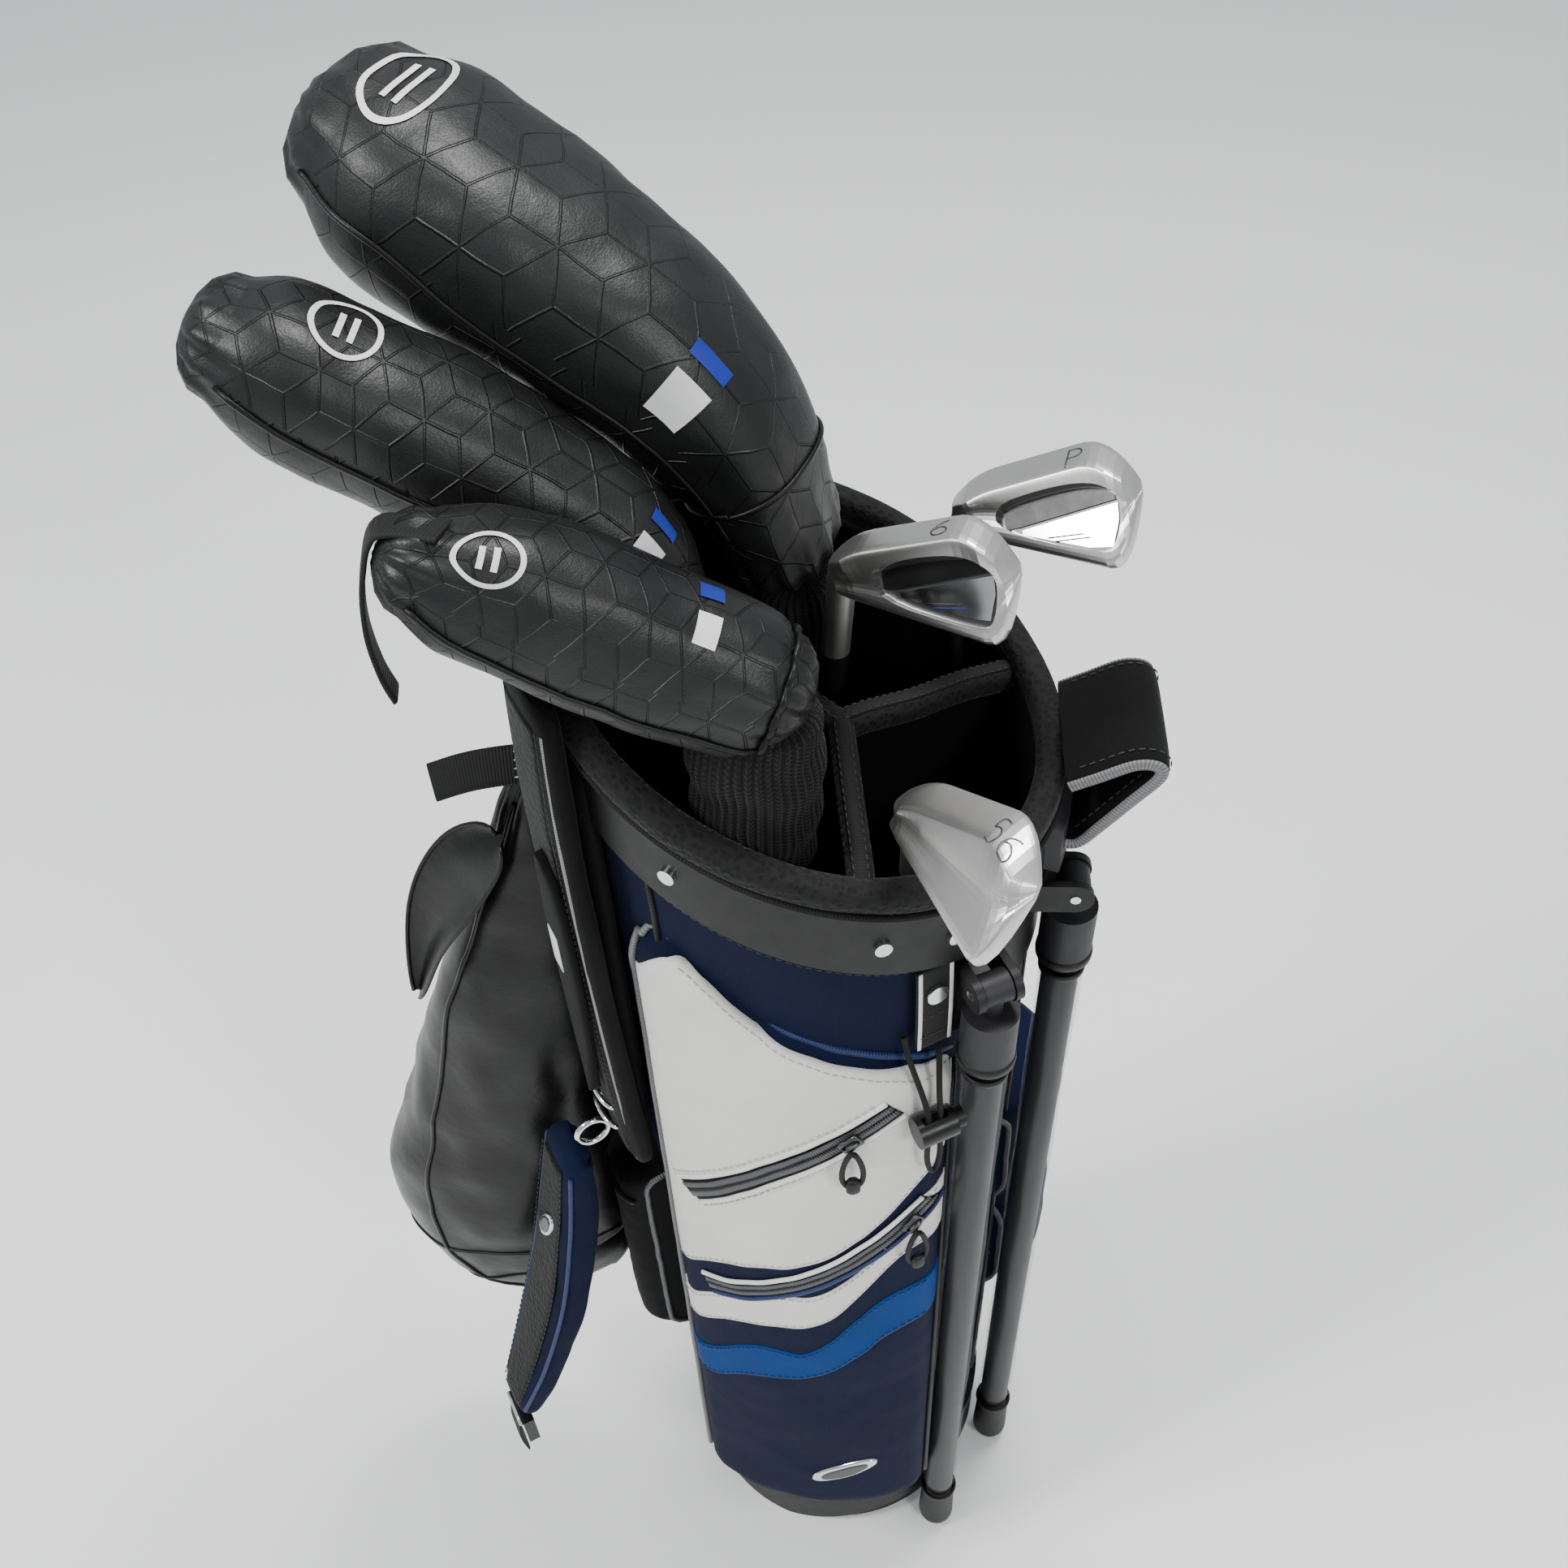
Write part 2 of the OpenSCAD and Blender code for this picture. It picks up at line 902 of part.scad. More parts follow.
// rounded wood-type head, toe along local x
module wood_head(len, wide, tall) {
  rows = [[-2, 0, 4, 0.2, 0.2], [6, 0, 9, 0.46, 0.46], [len * 0.3, 0, 12 + len * 0.16, 0.92, 0.96],
          [len * 0.55, 0, 12 + len * 0.30, 1, 1], [len * 0.8, 0, 12 + len * 0.44, 0.8, 0.85],
          [len * 0.9, 0, 12 + len * 0.5, 0.45, 0.5]];
  color(black)
  difference() {
    union() {
      soft_tube([for (r = rows) [r[0], r[1], r[2], r[3] * wide / 2, r[4] * tall / 2]],
        [0, 1, 0], 2, 18, 0);
      translate([0, 0, -14])
        cylinder(h = 26, r = hosel_r, $fn = 40);
    }
    soft_tube([for (i = [2 : 4]) let (r = rows[i]) [r[0], r[1], r[2], r[3] * wide / 2, r[4] * tall / 2]],
      [0, 1, 0], 2, 18, -2);
    translate([0, 0, -15])
      cylinder(h = 22, r = shaft_r + 0.05, $fn = 40);
  }
}

driver_butt = [-45, 58, 42];
driver_top = [-16, 30, 834];
fairway_butt = [-58, -32, 42];
fairway_top = [-49, -42, 812];
hybrid_butt = [4, -66, 42];
hybrid_top = [12, -74, 784];
iron6_butt = [-58, 10, 44];
iron6_top = [10, 11, 738];
pw_butt = [20, 52, 43];
pw_top = [46, 71, 736];
wedge_butt = [22, 20, 44];
wedge_top = [77, -58, 688];

module driver_club() {
  club(driver_butt, driver_top, -162)
    children();
}

module fairway_club() {
  club(fairway_butt, fairway_top, -157)
    children();
}

module hybrid_club() {
  club(hybrid_butt, hybrid_top, -152)
    children();
}

module iron6_club() {
  club(iron6_butt, iron6_top, 3)
    children();
}

module pw_club() {
  club(pw_butt, pw_top, 8)
    children();
}

module wedge_club() {
  club(wedge_butt, wedge_top, -24)
    children();
}

driver_len = norm(driver_top - driver_butt);
fairway_len = norm(fairway_top - fairway_butt);
hybrid_len = norm(hybrid_top - hybrid_butt);
iron6_len = norm(iron6_top - iron6_butt);
pw_len = norm(pw_top - pw_butt);
wedge_len = norm(wedge_top - wedge_butt);

// cover rows: [x, y, z, half width, half height]
driver_rows = [[-16, 32, 752, 21, 21], [-16, 28, 785, 24, 26], [-26, 20, 828, 34, 33],
  [-54, 14, 866, 44, 41], [-96, 9, 896, 52, 46], [-140, 6, 922, 55, 46],
  [-172, 4, 942, 48, 40], [-188, 3, 952, 30, 26], [-192, 3, 955, 10, 9]];
fairway_rows = [[-47, -40, 742, 20, 20], [-49, -42, 780, 22, 22], [-58, -47, 815, 26, 27],
  [-84, -58, 843, 31, 31], [-118, -73, 868, 35, 34], [-150, -87, 891, 35, 33],
  [-172, -97, 908, 30, 28], [-184, -102, 916, 18, 17], [-187, -103, 918, 6, 6]];
hybrid_rows = [[22, -74, 786, 16, 16], [14, -77, 790, 26, 27], [-6, -85, 802, 30, 31],
  [-32, -98, 819, 30, 31], [-60, -114, 839, 28.5, 30], [-80, -127, 854, 25, 25],
  [-91, -135, 863, 15, 15], [-94, -137, 865, 6, 6]];
sock_rows = [[10, -73, 690, 24, 24], [10, -73, 715, 27, 27], [12, -74, 740, 28, 28],
  [13, -75, 762, 28, 28], [14, -74, 772, 27, 27]];

module cover(rows, az) {
  side = polar(1, az + 90, 0);
  inner = [for (i = [0 : len(rows) - 1]) rows[i] + (i == 0 ? [0, 0, -6, 0, 0] : [0, 0, 0, 0, 0])];
  color(black)
  difference() {
    soft_tube(rows, side, 2, 20, 0);
    soft_tube([for (i = [0 : len(rows) - 2]) inner[i]], side, 2, 20, -cover_wall);
  }
}

module hybrid_cover() {
  side = polar(1, -53, 0);
  color(black)
  difference() {
    soft_tube(hybrid_rows, side, 2, 20, 0);
    soft_tube([for (i = [1 : 6]) hybrid_rows[i]], side, 2, 20, -cover_wall);
    translate([hybrid_top[0], hybrid_top[1], 740])
      cylinder(h = 61, r = 17);
    soft_tube(sock_rows, [1, 0, 0], 2, 20, 0.4);
  }
}

module hybrid_sock() {
  color(black)
  difference() {
    soft_tube(sock_rows, [1, 0, 0], 2, 20, 0);
    hybrid_club()
      cylinder(h = 900, r = 14);
  }
}

module leg_front_tube() {
  leg_tube(-1);
}

module leg_front_knuckle() {
  leg_knuckle(-1);
}

module leg_front_foot() {
  leg_foot(-1);
}

module leg_back_tube() {
  leg_tube(1);
}

module leg_back_knuckle() {
  leg_knuckle(1);
}

module leg_back_foot() {
  leg_foot(1);
}

module driver_grip() {
  driver_club()
    grip();
}

module driver_shaft() {
  driver_club()
    shaft(driver_len);
}

module driver_head() {
  driver_club()
    translate([0, 0, driver_len])
      wood_head(98, 66, 50);
}

module driver_cover() {
  cover(driver_rows, -172);
}

module fairway_grip() {
  fairway_club()
    grip();
}

module fairway_shaft() {
  fairway_club()
    shaft(fairway_len);
}

module fairway_head() {
  fairway_club()
    translate([0, 0, fairway_len])
      wood_head(82, 42, 30);
}

module fairway_cover() {
  cover(fairway_rows, -157);
}

module hybrid_grip() {
  hybrid_club()
    grip();
}

module hybrid_shaft() {
  hybrid_club()
    shaft(hybrid_len);
}

module hybrid_head() {
  hybrid_club()
    translate([0, 0, hybrid_len])
      wood_head(76, 34, 26);
}

module iron6_grip() {
  iron6_club()
    grip();
}

module iron6_shaft() {
  iron6_club()
    shaft(iron6_len + 26);
}

module iron6_ferrule() {
  iron6_club()
    translate([0, 0, iron6_len - 18])
      ferrule();
}

module iron6_head() {
  iron6_club()
    translate([0, 0, iron6_len])
      iron_head(28, 19, 9.5, 54, true, 57);
}

module iron6_insert() {
  iron6_club()
    translate([0, 0, iron6_len])
      iron_insert(28, 19, 54);
}

module pw_grip() {
  pw_club()
    grip();
}

module pw_shaft() {
  pw_club()
    shaft(pw_len + 26);
}

module pw_head() {
  pw_club()
    translate([0, 0, pw_len])
      iron_head(44, 20, 10, 57, true, 57);
}

module pw_insert() {
  pw_club()
    translate([0, 0, pw_len])
      iron_insert(44, 20, 57);
}

module wedge_grip() {
  wedge_club()
    grip();
}

module wedge_shaft() {
  wedge_club()
    shaft(wedge_len + 26);
}

module wedge_head() {
  wedge_club()
    translate([0, 0, wedge_len])
      iron_head(48, 20, 9, 60, false, 57);
}

base_boot();
body_shell();
top_collar();
rim_pad();
divider();
stay_rods();
leg_bracket();
leg_pivot_pins();
collar_rivets();
front_pocket();
zip_tapes();
ball_pocket();
side_pouch();
hood_pouch();
strap_black();
strap_navy();
strap_ring();
strap_buckle();
handle_housing();
grab_handle();
webbing_loop();
elastic_cord();
cord_lock();
cord_lock_button();
slider_upper();
slider_lower();
flap_pin();
base_flap();
actuator_rods();
leg_front_tube();
leg_front_knuckle();
leg_front_foot();
leg_back_tube();
leg_back_knuckle();
leg_back_foot();
driver_grip();
driver_shaft();
driver_head();
driver_cover();
fairway_grip();
fairway_shaft();
fairway_head();
fairway_cover();
hybrid_grip();
hybrid_shaft();
hybrid_head();
hybrid_cover();
hybrid_sock();
iron6_grip();
iron6_shaft();
iron6_ferrule();
iron6_head();
iron6_insert();
pw_grip();
pw_shaft();
pw_head();
pw_insert();
wedge_grip();
wedge_shaft();
wedge_head();
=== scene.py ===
"""The looks of a junior golf stand bag with six clubs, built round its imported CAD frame.

Lengths in this script are in millimetres and turn into metres where a mesh is made.
Directions round the bag are azimuths in degrees: 0 is the leg side, -68 the front pocket.
"""

import math

import bpy
import numpy as np
from mathutils import Matrix, Vector, noise


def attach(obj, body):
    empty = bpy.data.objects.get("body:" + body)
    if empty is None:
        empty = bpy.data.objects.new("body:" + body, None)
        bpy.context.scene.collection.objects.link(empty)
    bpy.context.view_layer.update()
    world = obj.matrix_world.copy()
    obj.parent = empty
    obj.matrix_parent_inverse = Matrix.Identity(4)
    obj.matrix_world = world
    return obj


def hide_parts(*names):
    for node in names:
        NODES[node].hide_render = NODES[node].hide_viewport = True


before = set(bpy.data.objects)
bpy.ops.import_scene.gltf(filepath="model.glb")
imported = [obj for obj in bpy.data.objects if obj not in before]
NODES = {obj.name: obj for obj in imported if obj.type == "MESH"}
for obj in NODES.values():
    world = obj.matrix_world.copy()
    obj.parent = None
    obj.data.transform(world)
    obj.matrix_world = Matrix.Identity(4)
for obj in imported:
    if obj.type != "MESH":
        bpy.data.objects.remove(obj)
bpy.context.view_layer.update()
MM = 0.001

# ---------- the bag's shape, as in the CAD ----------

RIM_Z = 730.0
RIM_FALL = math.tan(math.radians(23.05))
COLLAR_R = 117.5
BODY_LOW_R = 97
BODY_LOW_Z = 64
BODY_H = 716
BODY_FLARE = 15.5
HEM_LOW = 70
HEM_DROP = -43
HEM_R = 111
DIVIDER_MIDDLE = (20.0, -7.0)
LEG_AZ = -10.0
LEG_Y = 38.0
LEG_TOP = (125.0, 628.0)
LEG_LOW = (109.0, 10.0)
LEG_R = 9.5
POCKET_AZ = -68.0
POCKET_C = 19.0
POCKET_R = 120.0
POCKET_LEAN = math.tan(math.radians(2.2))
POCKET_LEFT = -80.0
POCKET_LOW = 74
POCKET_EDGE = 9.0

# The body that many pieces share, paired with a material slot name.
ON_CLOTH = ("bag", "body_navy")
ON_MESH = ("bag", "mesh_black")
ON_WEBBING = ("bag", "webbing_black")
ON_ZIP = ("bag", "zip_grey")
ON_POUCH = ("bag", "pouch_leather")
ON_WHITE = ("bag", "pocket_white")
ON_HANDLE = ("bag", "handle_black")
COVER_SLOT = "cover_leather"


def polar(r, az, z):
    """The point at radius r, azimuth az and height z."""
    a = math.radians(az)
    return np.array([r * math.cos(a), r * math.sin(a), z])


def turn(points, az):
    """Points of a frame turned by az about Z, in the bag's frame."""
    a = math.radians(az)
    p = np.asarray(points, float)
    x, y = p[..., 0], p[..., 1]
    return np.stack([x * math.cos(a) - y * math.sin(a), x * math.sin(a) + y * math.cos(a), p[..., 2]], -1)


def cone_r(z):
    """Outer radius of the bag's cloth at height z."""
    return BODY_LOW_R + BODY_FLARE * (z - BODY_LOW_Z) / BODY_H


def rim_height(az, off=0.0, r=COLLAR_R):
    """Height of the sloped rim's plane, moved by off, above the point at r and az."""
    return RIM_Z + off - RIM_FALL * r * math.cos(math.radians(az))


def side_of(az):
    """The level direction that points out at az."""
    return (math.cos(math.radians(az)), math.sin(math.radians(az)), 0)


def circle(n):
    """n even steps round a full turn, in radians."""
    return np.arange(n) / n * 2 * math.pi


def run_along(path):
    """Distance along a path at each of its points."""
    return np.concatenate([[0], np.cumsum(np.linalg.norm(np.diff(path, axis=0), axis=1))])


def sample(places, run, values):
    """Rows of values at places along a path whose distances are run."""
    return np.stack([np.interp(places, run, values[:, k]) for k in range(3)], -1)


def unit(v):
    """Vectors at length 1."""
    v = np.asarray(v, float)
    return v / np.linalg.norm(v, axis=-1, keepdims=True)


def spline(points, k):
    """Catmull-Rom curve through points, k steps to a span. Any number of columns."""
    p = np.asarray(points, float)
    out = []
    for i in range(len(p) - 1):
        a, b, c, d = p[max(i - 1, 0)], p[i], p[i + 1], p[min(i + 2, len(p) - 1)]
        for t in np.arange(k) / k:
            out.append(0.5 * (2 * b + (c - a) * t + (2 * a - 5 * b + 4 * c - d) * t**2
                              + (3 * b - a - 3 * c + d) * t**3))
    out.append(p[-1])
    return np.array(out)


def along(points, x):
    """Smooth curve value at x through (x, value) points."""
    s = spline(sorted(points), 8)
    return np.interp(x, s[:, 0], s[:, 1])


def ripple(p, size, seed=0.0):
    """Smooth noise, about -1 to 1, with features of that size in millimetres."""
    return noise.noise(Vector((p[0] / size + seed, p[1] / size - seed, p[2] / size + 0.37 * seed)))


# ---------- meshes ----------

def make(name, verts, faces, material, body, uvs=None, smooth=True):
    """A mesh piece from points in millimetres, riding on a body. uvs has one (u, v) in metres per corner."""
    mesh = bpy.data.meshes.new(name)
    mesh.from_pydata([tuple(v) for v in np.asarray(verts, float) * MM], [], faces)
    if uvs is not None:
        layer = mesh.uv_layers.new(name="UVMap")
        layer.data.foreach_set("uv", np.asarray(uvs, np.float32).ravel())
    mesh.polygons.foreach_set("use_smooth", [smooth] * len(mesh.polygons))
    mesh.materials.append(material)
    mesh.update()
    piece = bpy.data.objects.new(name, mesh)
    bpy.context.scene.collection.objects.link(piece)
    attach(piece, body)
    return piece


def grid(name, p, material, body, slot, wrap=False, caps=False, flip=False):
    """A surface through an array of points p[row][column]. wrap joins the last column to the first."""
    p = np.asarray(p, float)
    m, n = p.shape[:2]
    cols = n if wrap else n - 1
    q = np.concatenate([p, p[:, :1]], 1) if wrap else p
    du = np.linalg.norm(np.diff(q, axis=1), axis=2).mean(0)
    dv = np.linalg.norm(np.diff(p, axis=0), axis=2).mean(1)
    u = np.concatenate([[0], np.cumsum(du)]) * MM
    v = np.concatenate([[0], np.cumsum(dv)]) * MM
    uv = np.stack(np.broadcast_arrays(u[None, :], v[:, None]), -1)
    faces, uvs = [], []
    for i in range(m - 1):
        for j in range(cols):
            k = (j + 1) % n
            face = [(i, j), (i, k), (i + 1, k), (i + 1, j)]
            corner = [uv[i, j], uv[i, j + 1], uv[i + 1, j + 1], uv[i + 1, j]]
            if flip:
                face.reverse()
                corner.reverse()
            faces.append([a * n + b for a, b in face])
            uvs += corner
    if caps:
        for row, back in ((0, True), (m - 1, False)):
            ring = [row * n + j for j in range(n)]
            tags = [uv[row, j] for j in range(n)]
            if back != flip:
                ring.reverse()
                tags.reverse()
            faces.append(ring)
            uvs += tags
    return make(name, p.reshape(-1, 3), faces, material, body, uvs)


def frames(path, side=None):
    """Tangent, side and normal at each point of a path. side is a steady direction to stay near."""
    path = np.asarray(path, float)
    t = unit(np.gradient(path, axis=0))
    if side is None:
        s = np.zeros_like(t)
        ref = np.array([0.0, 0.0, 1.0]) if abs(t[0][2]) < 0.9 else np.array([1.0, 0.0, 0.0])
        s[0] = unit(np.cross(t[0], ref))
        for i in range(1, len(t)):
            s[i] = unit(s[i - 1] - t[i] * (s[i - 1] @ t[i]))
    else:
        side = np.broadcast_to(np.asarray(side, float), t.shape)
        s = unit(side - t * np.sum(side * t, 1, keepdims=True))
    return t, s, np.cross(t, s)


def oval(n, power=2.0):
    """n points of a rounded section, from an ellipse at power 2 to a box above 5."""
    a = np.arange(n) * 2 * math.pi / n
    c, s = np.cos(a), np.sin(a)
    return np.stack([np.sign(c) * np.abs(c) ** (2 / power), np.sign(s) * np.abs(s) ** (2 / power)], -1)


def sweep(name, path, a, b, material, body, slot, side=None, n=10, power=2.0, closed=False):
    """A closed solid along a path: half width a along side and half thickness b along the normal."""
    path = np.asarray(path, float)
    _, s, w = frames(path, side)
    a = np.broadcast_to(a, len(path))[:, None, None]
    b = np.broadcast_to(b, len(path))[:, None, None]
    o = oval(n, power)
    p = path[:, None] + s[:, None] * o[None, :, :1] * a + w[:, None] * o[None, :, 1:] * b
    if closed:
        p = np.concatenate([p, p[:1]])
    return grid(name, p, material, body, slot, wrap=True, caps=not closed, flip=True)


def beads(name, centres, axes, sides, size, material, body, slot):
    """Many small rounded blocks in one mesh: stitches, zip teeth or ribs. size is three half lengths."""
    count = 6
    ring = oval(count, 2.6)
    verts, faces = [], []
    for c, t, s in zip(centres, unit(axes), unit(sides)):
        s = unit(s - t * (s @ t))
        w = np.cross(t, s)
        base = len(verts)
        for at, k in ((-1, 0.55), (-0.6, 1), (0.6, 1), (1, 0.55)):
            for x, y in ring:
                verts.append(c + t * at * size[0] + s * x * k * size[1] + w * y * k * size[2])
        for first in (base, base + count, base + 2 * count):
            for j in range(count):
                k = (j + 1) % count
                faces.append([first + j, first + k, first + count + k, first + count + j])
        faces.append([base + j for j in reversed(range(count))])
        faces.append([base + 3 * count + j for j in range(count)])
    return make(name, verts, faces, material, body)


def stitches(name, path, sides, material, body, slot, length=3.0, gap=1.6, thick=0.35):
    """A row of thread stitches along a path."""
    path = np.asarray(path, float)
    sides = np.broadcast_to(np.asarray(sides, float), path.shape)
    run = run_along(path)
    at = np.arange(length / 2, run[-1] - length / 2, length + gap)
    before, after = sample(at - 0.5, run, path), sample(at + 0.5, run, path)
    return beads(name, (before + after) / 2, after - before, sample(at, run, sides),
                 (length / 2, thick, thick), material, body, slot)


# ---------- materials ----------

class Look:
    """A Principled material and short ways to add procedural detail to it."""

    def __init__(self, name, colour, rough, metal=0.0, **sockets):
        self.mat = bpy.data.materials.new(name)
        self.mat.use_nodes = True
        self.tree = self.mat.node_tree
        self.shader = self.tree.nodes["Principled BSDF"]
        self.colour = (*colour, 1)
        self.shader.inputs["Base Color"].default_value = self.colour
        self.shader.inputs["Roughness"].default_value = rough
        self.shader.inputs["Metallic"].default_value = metal
        self.mat.diffuse_color = self.colour
        for key, value in sockets.items():
            self.shader.inputs[key.replace("_", " ")].default_value = value
        self.normal = None

    def node(self, kind, inputs=None, **props):
        """A shader node with its inputs linked to sockets or set to values."""
        n = self.tree.nodes.new("ShaderNode" + kind)
        for key, value in props.items():
            setattr(n, key, value)
        for key, value in (inputs or {}).items():
            if isinstance(value, bpy.types.NodeSocket):
                self.tree.links.new(value, n.inputs[key])
            else:
                n.inputs[key].default_value = value
        return n

    def math(self, op, a, b=0.0, c=None):
        """The value of a Math node."""
        inputs = {0: a, 1: b} if c is None else {0: a, 1: b, 2: c}
        return self.node("Math", inputs, operation=op).outputs[0]

    def times(self, a, b):
        """a * b"""
        return self.math("MULTIPLY", a, b)

    def times_add(self, a, b, c):
        """a * b + c"""
        return self.math("MULTIPLY_ADD", a, b, c)

    def place(self, kind="Object", scale=(1, 1, 1)):
        """Texture coordinates in metres: Object is the bag's own frame, UV follows the piece."""
        out = self.node("TexCoord").outputs[kind]
        if tuple(scale) == (1, 1, 1):
            return out
        return self.node("Mapping", {"Vector": out, "Scale": scale}).outputs[0]

    def cloud(self, where, size, detail):
        """Noise with features of that size in millimetres."""
        inputs = {"Vector": where, "Scale": 1000 / size, "Detail": detail, "Roughness": 0.55}
        return self.node("TexNoise", inputs).outputs["Fac"]

    def wave(self, where, axis, pitch, warp=0.0):
        """Ridges across an axis, pitch in millimetres apart."""
        inputs = {"Vector": where, "Scale": 314.16 / pitch, "Distortion": warp, "Detail": 1.0}
        return self.node("TexWave", inputs, bands_direction=axis).outputs["Fac"]

    def cells(self, where, size):
        """Distance from the middles of scattered cells of that size in millimetres."""
        return self.node("TexVoronoi", {"Vector": where, "Scale": 1000 / size}).outputs["Distance"]

    def ramp(self, value, stops):
        """Colours or greys at places from 0 to 1."""
        n = self.node("ValToRGB", {"Fac": value})
        ramp = n.color_ramp
        for i, (at, shade) in enumerate(stops):
            e = ramp.elements[i] if i < 2 else ramp.elements.new(at)
            e.position = at
            e.color = (*shade, 1) if hasattr(shade, "__len__") else (shade, shade, shade, 1)
        return n.outputs["Color"]

    def tint(self, value, low, high):
        """Colour from low to high multiples of the base colour as value goes from 0 to 1."""
        shades = [[c * k for c in self.colour[:3]] for k in (low, high)]
        colour = self.ramp(value, [(0.25, shades[0]), (0.75, shades[1])])
        self.tree.links.new(colour, self.shader.inputs["Base Color"])

    def shine(self, value, low, high):
        """Roughness from low to high as value goes from 0 to 1."""
        span = self.node("MapRange", {"Value": value, "To Min": low, "To Max": high}).outputs[0]
        self.tree.links.new(span, self.shader.inputs["Roughness"])

    def bump(self, height, depth, strength=1.0):
        """Relief of that depth in millimetres, laid over any earlier relief."""
        inputs = {"Height": height, "Distance": depth * MM, "Strength": strength}
        if self.normal is not None:
            inputs["Normal"] = self.normal
        self.normal = self.node("Bump", inputs).outputs[0]
        self.tree.links.new(self.normal, self.shader.inputs["Normal"])


def cloth(name, colour, rough=0.75, pitch=1.1, sheen=0.25, contrast=0.25):
    """Woven cloth: crossed threads, faint shade changes and a soft sheen."""
    look = Look(name, colour, rough, Sheen_Weight=sheen, Sheen_Roughness=0.5, Specular_IOR_Level=0.09)
    at = look.place("UV")
    warp, weft = look.wave(at, "X", pitch), look.wave(at, "Y", pitch)
    weave = look.times(warp, weft)
    shade = look.times_add(weave, 0.45, look.times(look.cloud(look.place(), 60, 4), 0.75))
    look.tint(shade, 1 - contrast, 1 + contrast)
    look.bump(weave, 0.12, 0.6)
    look.bump(look.cloud(look.place(), 22, 2), 0.8, 0.5)
    look.shine(look.cloud(look.place(), 30, 3), rough - 0.08, rough + 0.08)
    return look.mat


def mesh_cloth(name, colour):
    """Padded spacer mesh with small round holes."""
    look = Look(name, colour, 0.8, Sheen_Weight=0.06, Sheen_Roughness=0.4, Specular_IOR_Level=0.3)
    hole = look.ramp(look.cells(look.place(), 3.2), [(0.25, 0.0), (0.6, 1.0)])
    look.tint(hole, 0.35, 1.6)
    look.bump(hole, 0.5, 0.8)
    look.bump(look.cloud(look.place(), 14, 3), 0.6, 0.5)
    return look.mat


def webbing(name, colour, rough=0.7):
    """Ribbed webbing, tape, piping or thread."""
    look = Look(name, colour, rough, Sheen_Weight=0.03, Specular_IOR_Level=0.3)
    at = look.place("UV")
    rib = look.wave(at, "Y", 1.6, 0.3)
    look.tint(look.times_add(look.wave(at, "X", 3.1, 0.2), 0.3, look.times(rib, 0.7)), 0.7, 1.3)
    look.bump(rib, 0.3, 0.8)
    return look.mat


def knit(name, colour):
    """Ribbed knit: fine stitches on ribs that the mesh itself has."""
    look = Look(name, colour, 0.92, Sheen_Weight=0.05, Sheen_Roughness=0.6, Specular_IOR_Level=0.25)
    at = look.place("UV")
    loops = look.times(look.wave(at, "Y", 2.2, 0.8), look.wave(at, "X", 2.6, 0.5))
    look.tint(look.times_add(loops, 0.6, look.times(look.cloud(look.place(), 8, 5), 0.5)), 0.6, 1.5)
    look.bump(loops, 0.5, 0.9)
    look.bump(look.cloud(look.place(), 3, 3), 0.25, 0.7)
    return look.mat


def moulded(name, colour, rough=0.5, grain=1.2, depth=0.08):
    """Moulded plastic or rubber with a fine grain."""
    look = Look(name, colour, rough, Specular_IOR_Level=0.35)
    at = look.place()
    look.bump(look.cloud(at, grain, 2), depth, 0.6)
    look.bump(look.cloud(at, 18, 2), 0.25, 0.3)
    look.tint(look.cloud(at, 40, 5), 0.85, 1.2)
    look.shine(look.cloud(at, 9, 5), rough - 0.08, rough + 0.12)
    return look.mat


def metal(name, colour, rough, brush=None):
    """Metal with fine brushing along an axis of the bag's frame and faint smudges."""
    look = Look(name, colour, rough, 1.0)
    at = look.place()
    soft = look.cloud(at, 25, 4)
    look.shine(soft, rough - 0.06, rough + 0.06)
    look.tint(look.cloud(at, 45, 3), 0.93, 1.05)
    if brush:
        fine = look.cloud(look.place("Object", brush), 1.0, 2)
        look.bump(fine, 0.02, 0.5)
    look.bump(soft, 0.15, 0.12)
    return look.mat


def rhombille(look, uv, edge, width):
    """0 on the thin lines of a tumbling-block pattern and 1 between them. edge is a rhombus side in mm."""
    e = edge * MM
    split = look.node("SeparateXYZ", {"Vector": uv})
    x, y = split.outputs[0], split.outputs[1]
    w, h = math.sqrt(3) * e, 3 * e

    def local(value, period, shift):
        moved = look.math("FLOORED_MODULO", look.math("ADD", value, shift), period)
        return look.math("SUBTRACT", moved, period / 2)

    ax, ay = local(x, w, 0), local(y, h, 0)
    bx, by = local(x, w, w / 2), local(y, h, h / 2)
    la = look.times_add(ax, ax, look.times(ay, ay))
    lb = look.times_add(bx, bx, look.times(by, by))
    near = look.math("LESS_THAN", la, lb)
    far = look.math("SUBTRACT", 1.0, near)
    qx = look.times_add(ax, near, look.times(bx, far))
    qy = look.times_add(ay, near, look.times(by, far))
    px, py = look.math("ABSOLUTE", qx), look.math("ABSOLUTE", qy)
    slant = look.times_add(px, 0.5, look.times(py, math.sqrt(3) / 2))
    best = look.math("SUBTRACT", w / 2, look.math("MAXIMUM", px, slant))
    for angle in (90, 210, 330):
        c, s = math.cos(math.radians(angle)), math.sin(math.radians(angle))
        off = look.math("ABSOLUTE", look.math("SUBTRACT", look.times(qx, s), look.times(qy, c)))
        ahead = look.times_add(qx, c, look.times(qy, s))
        behind = look.times(look.math("MAXIMUM", look.times(ahead, -1.0), 0.0), 4.0)
        best = look.math("MINIMUM", best, look.math("ADD", off, behind))
    return look.node("MapRange", {"Value": best, "From Min": width * MM * 0.3, "From Max": width * MM},
                     interpolation_type="SMOOTHSTEP").outputs[0]


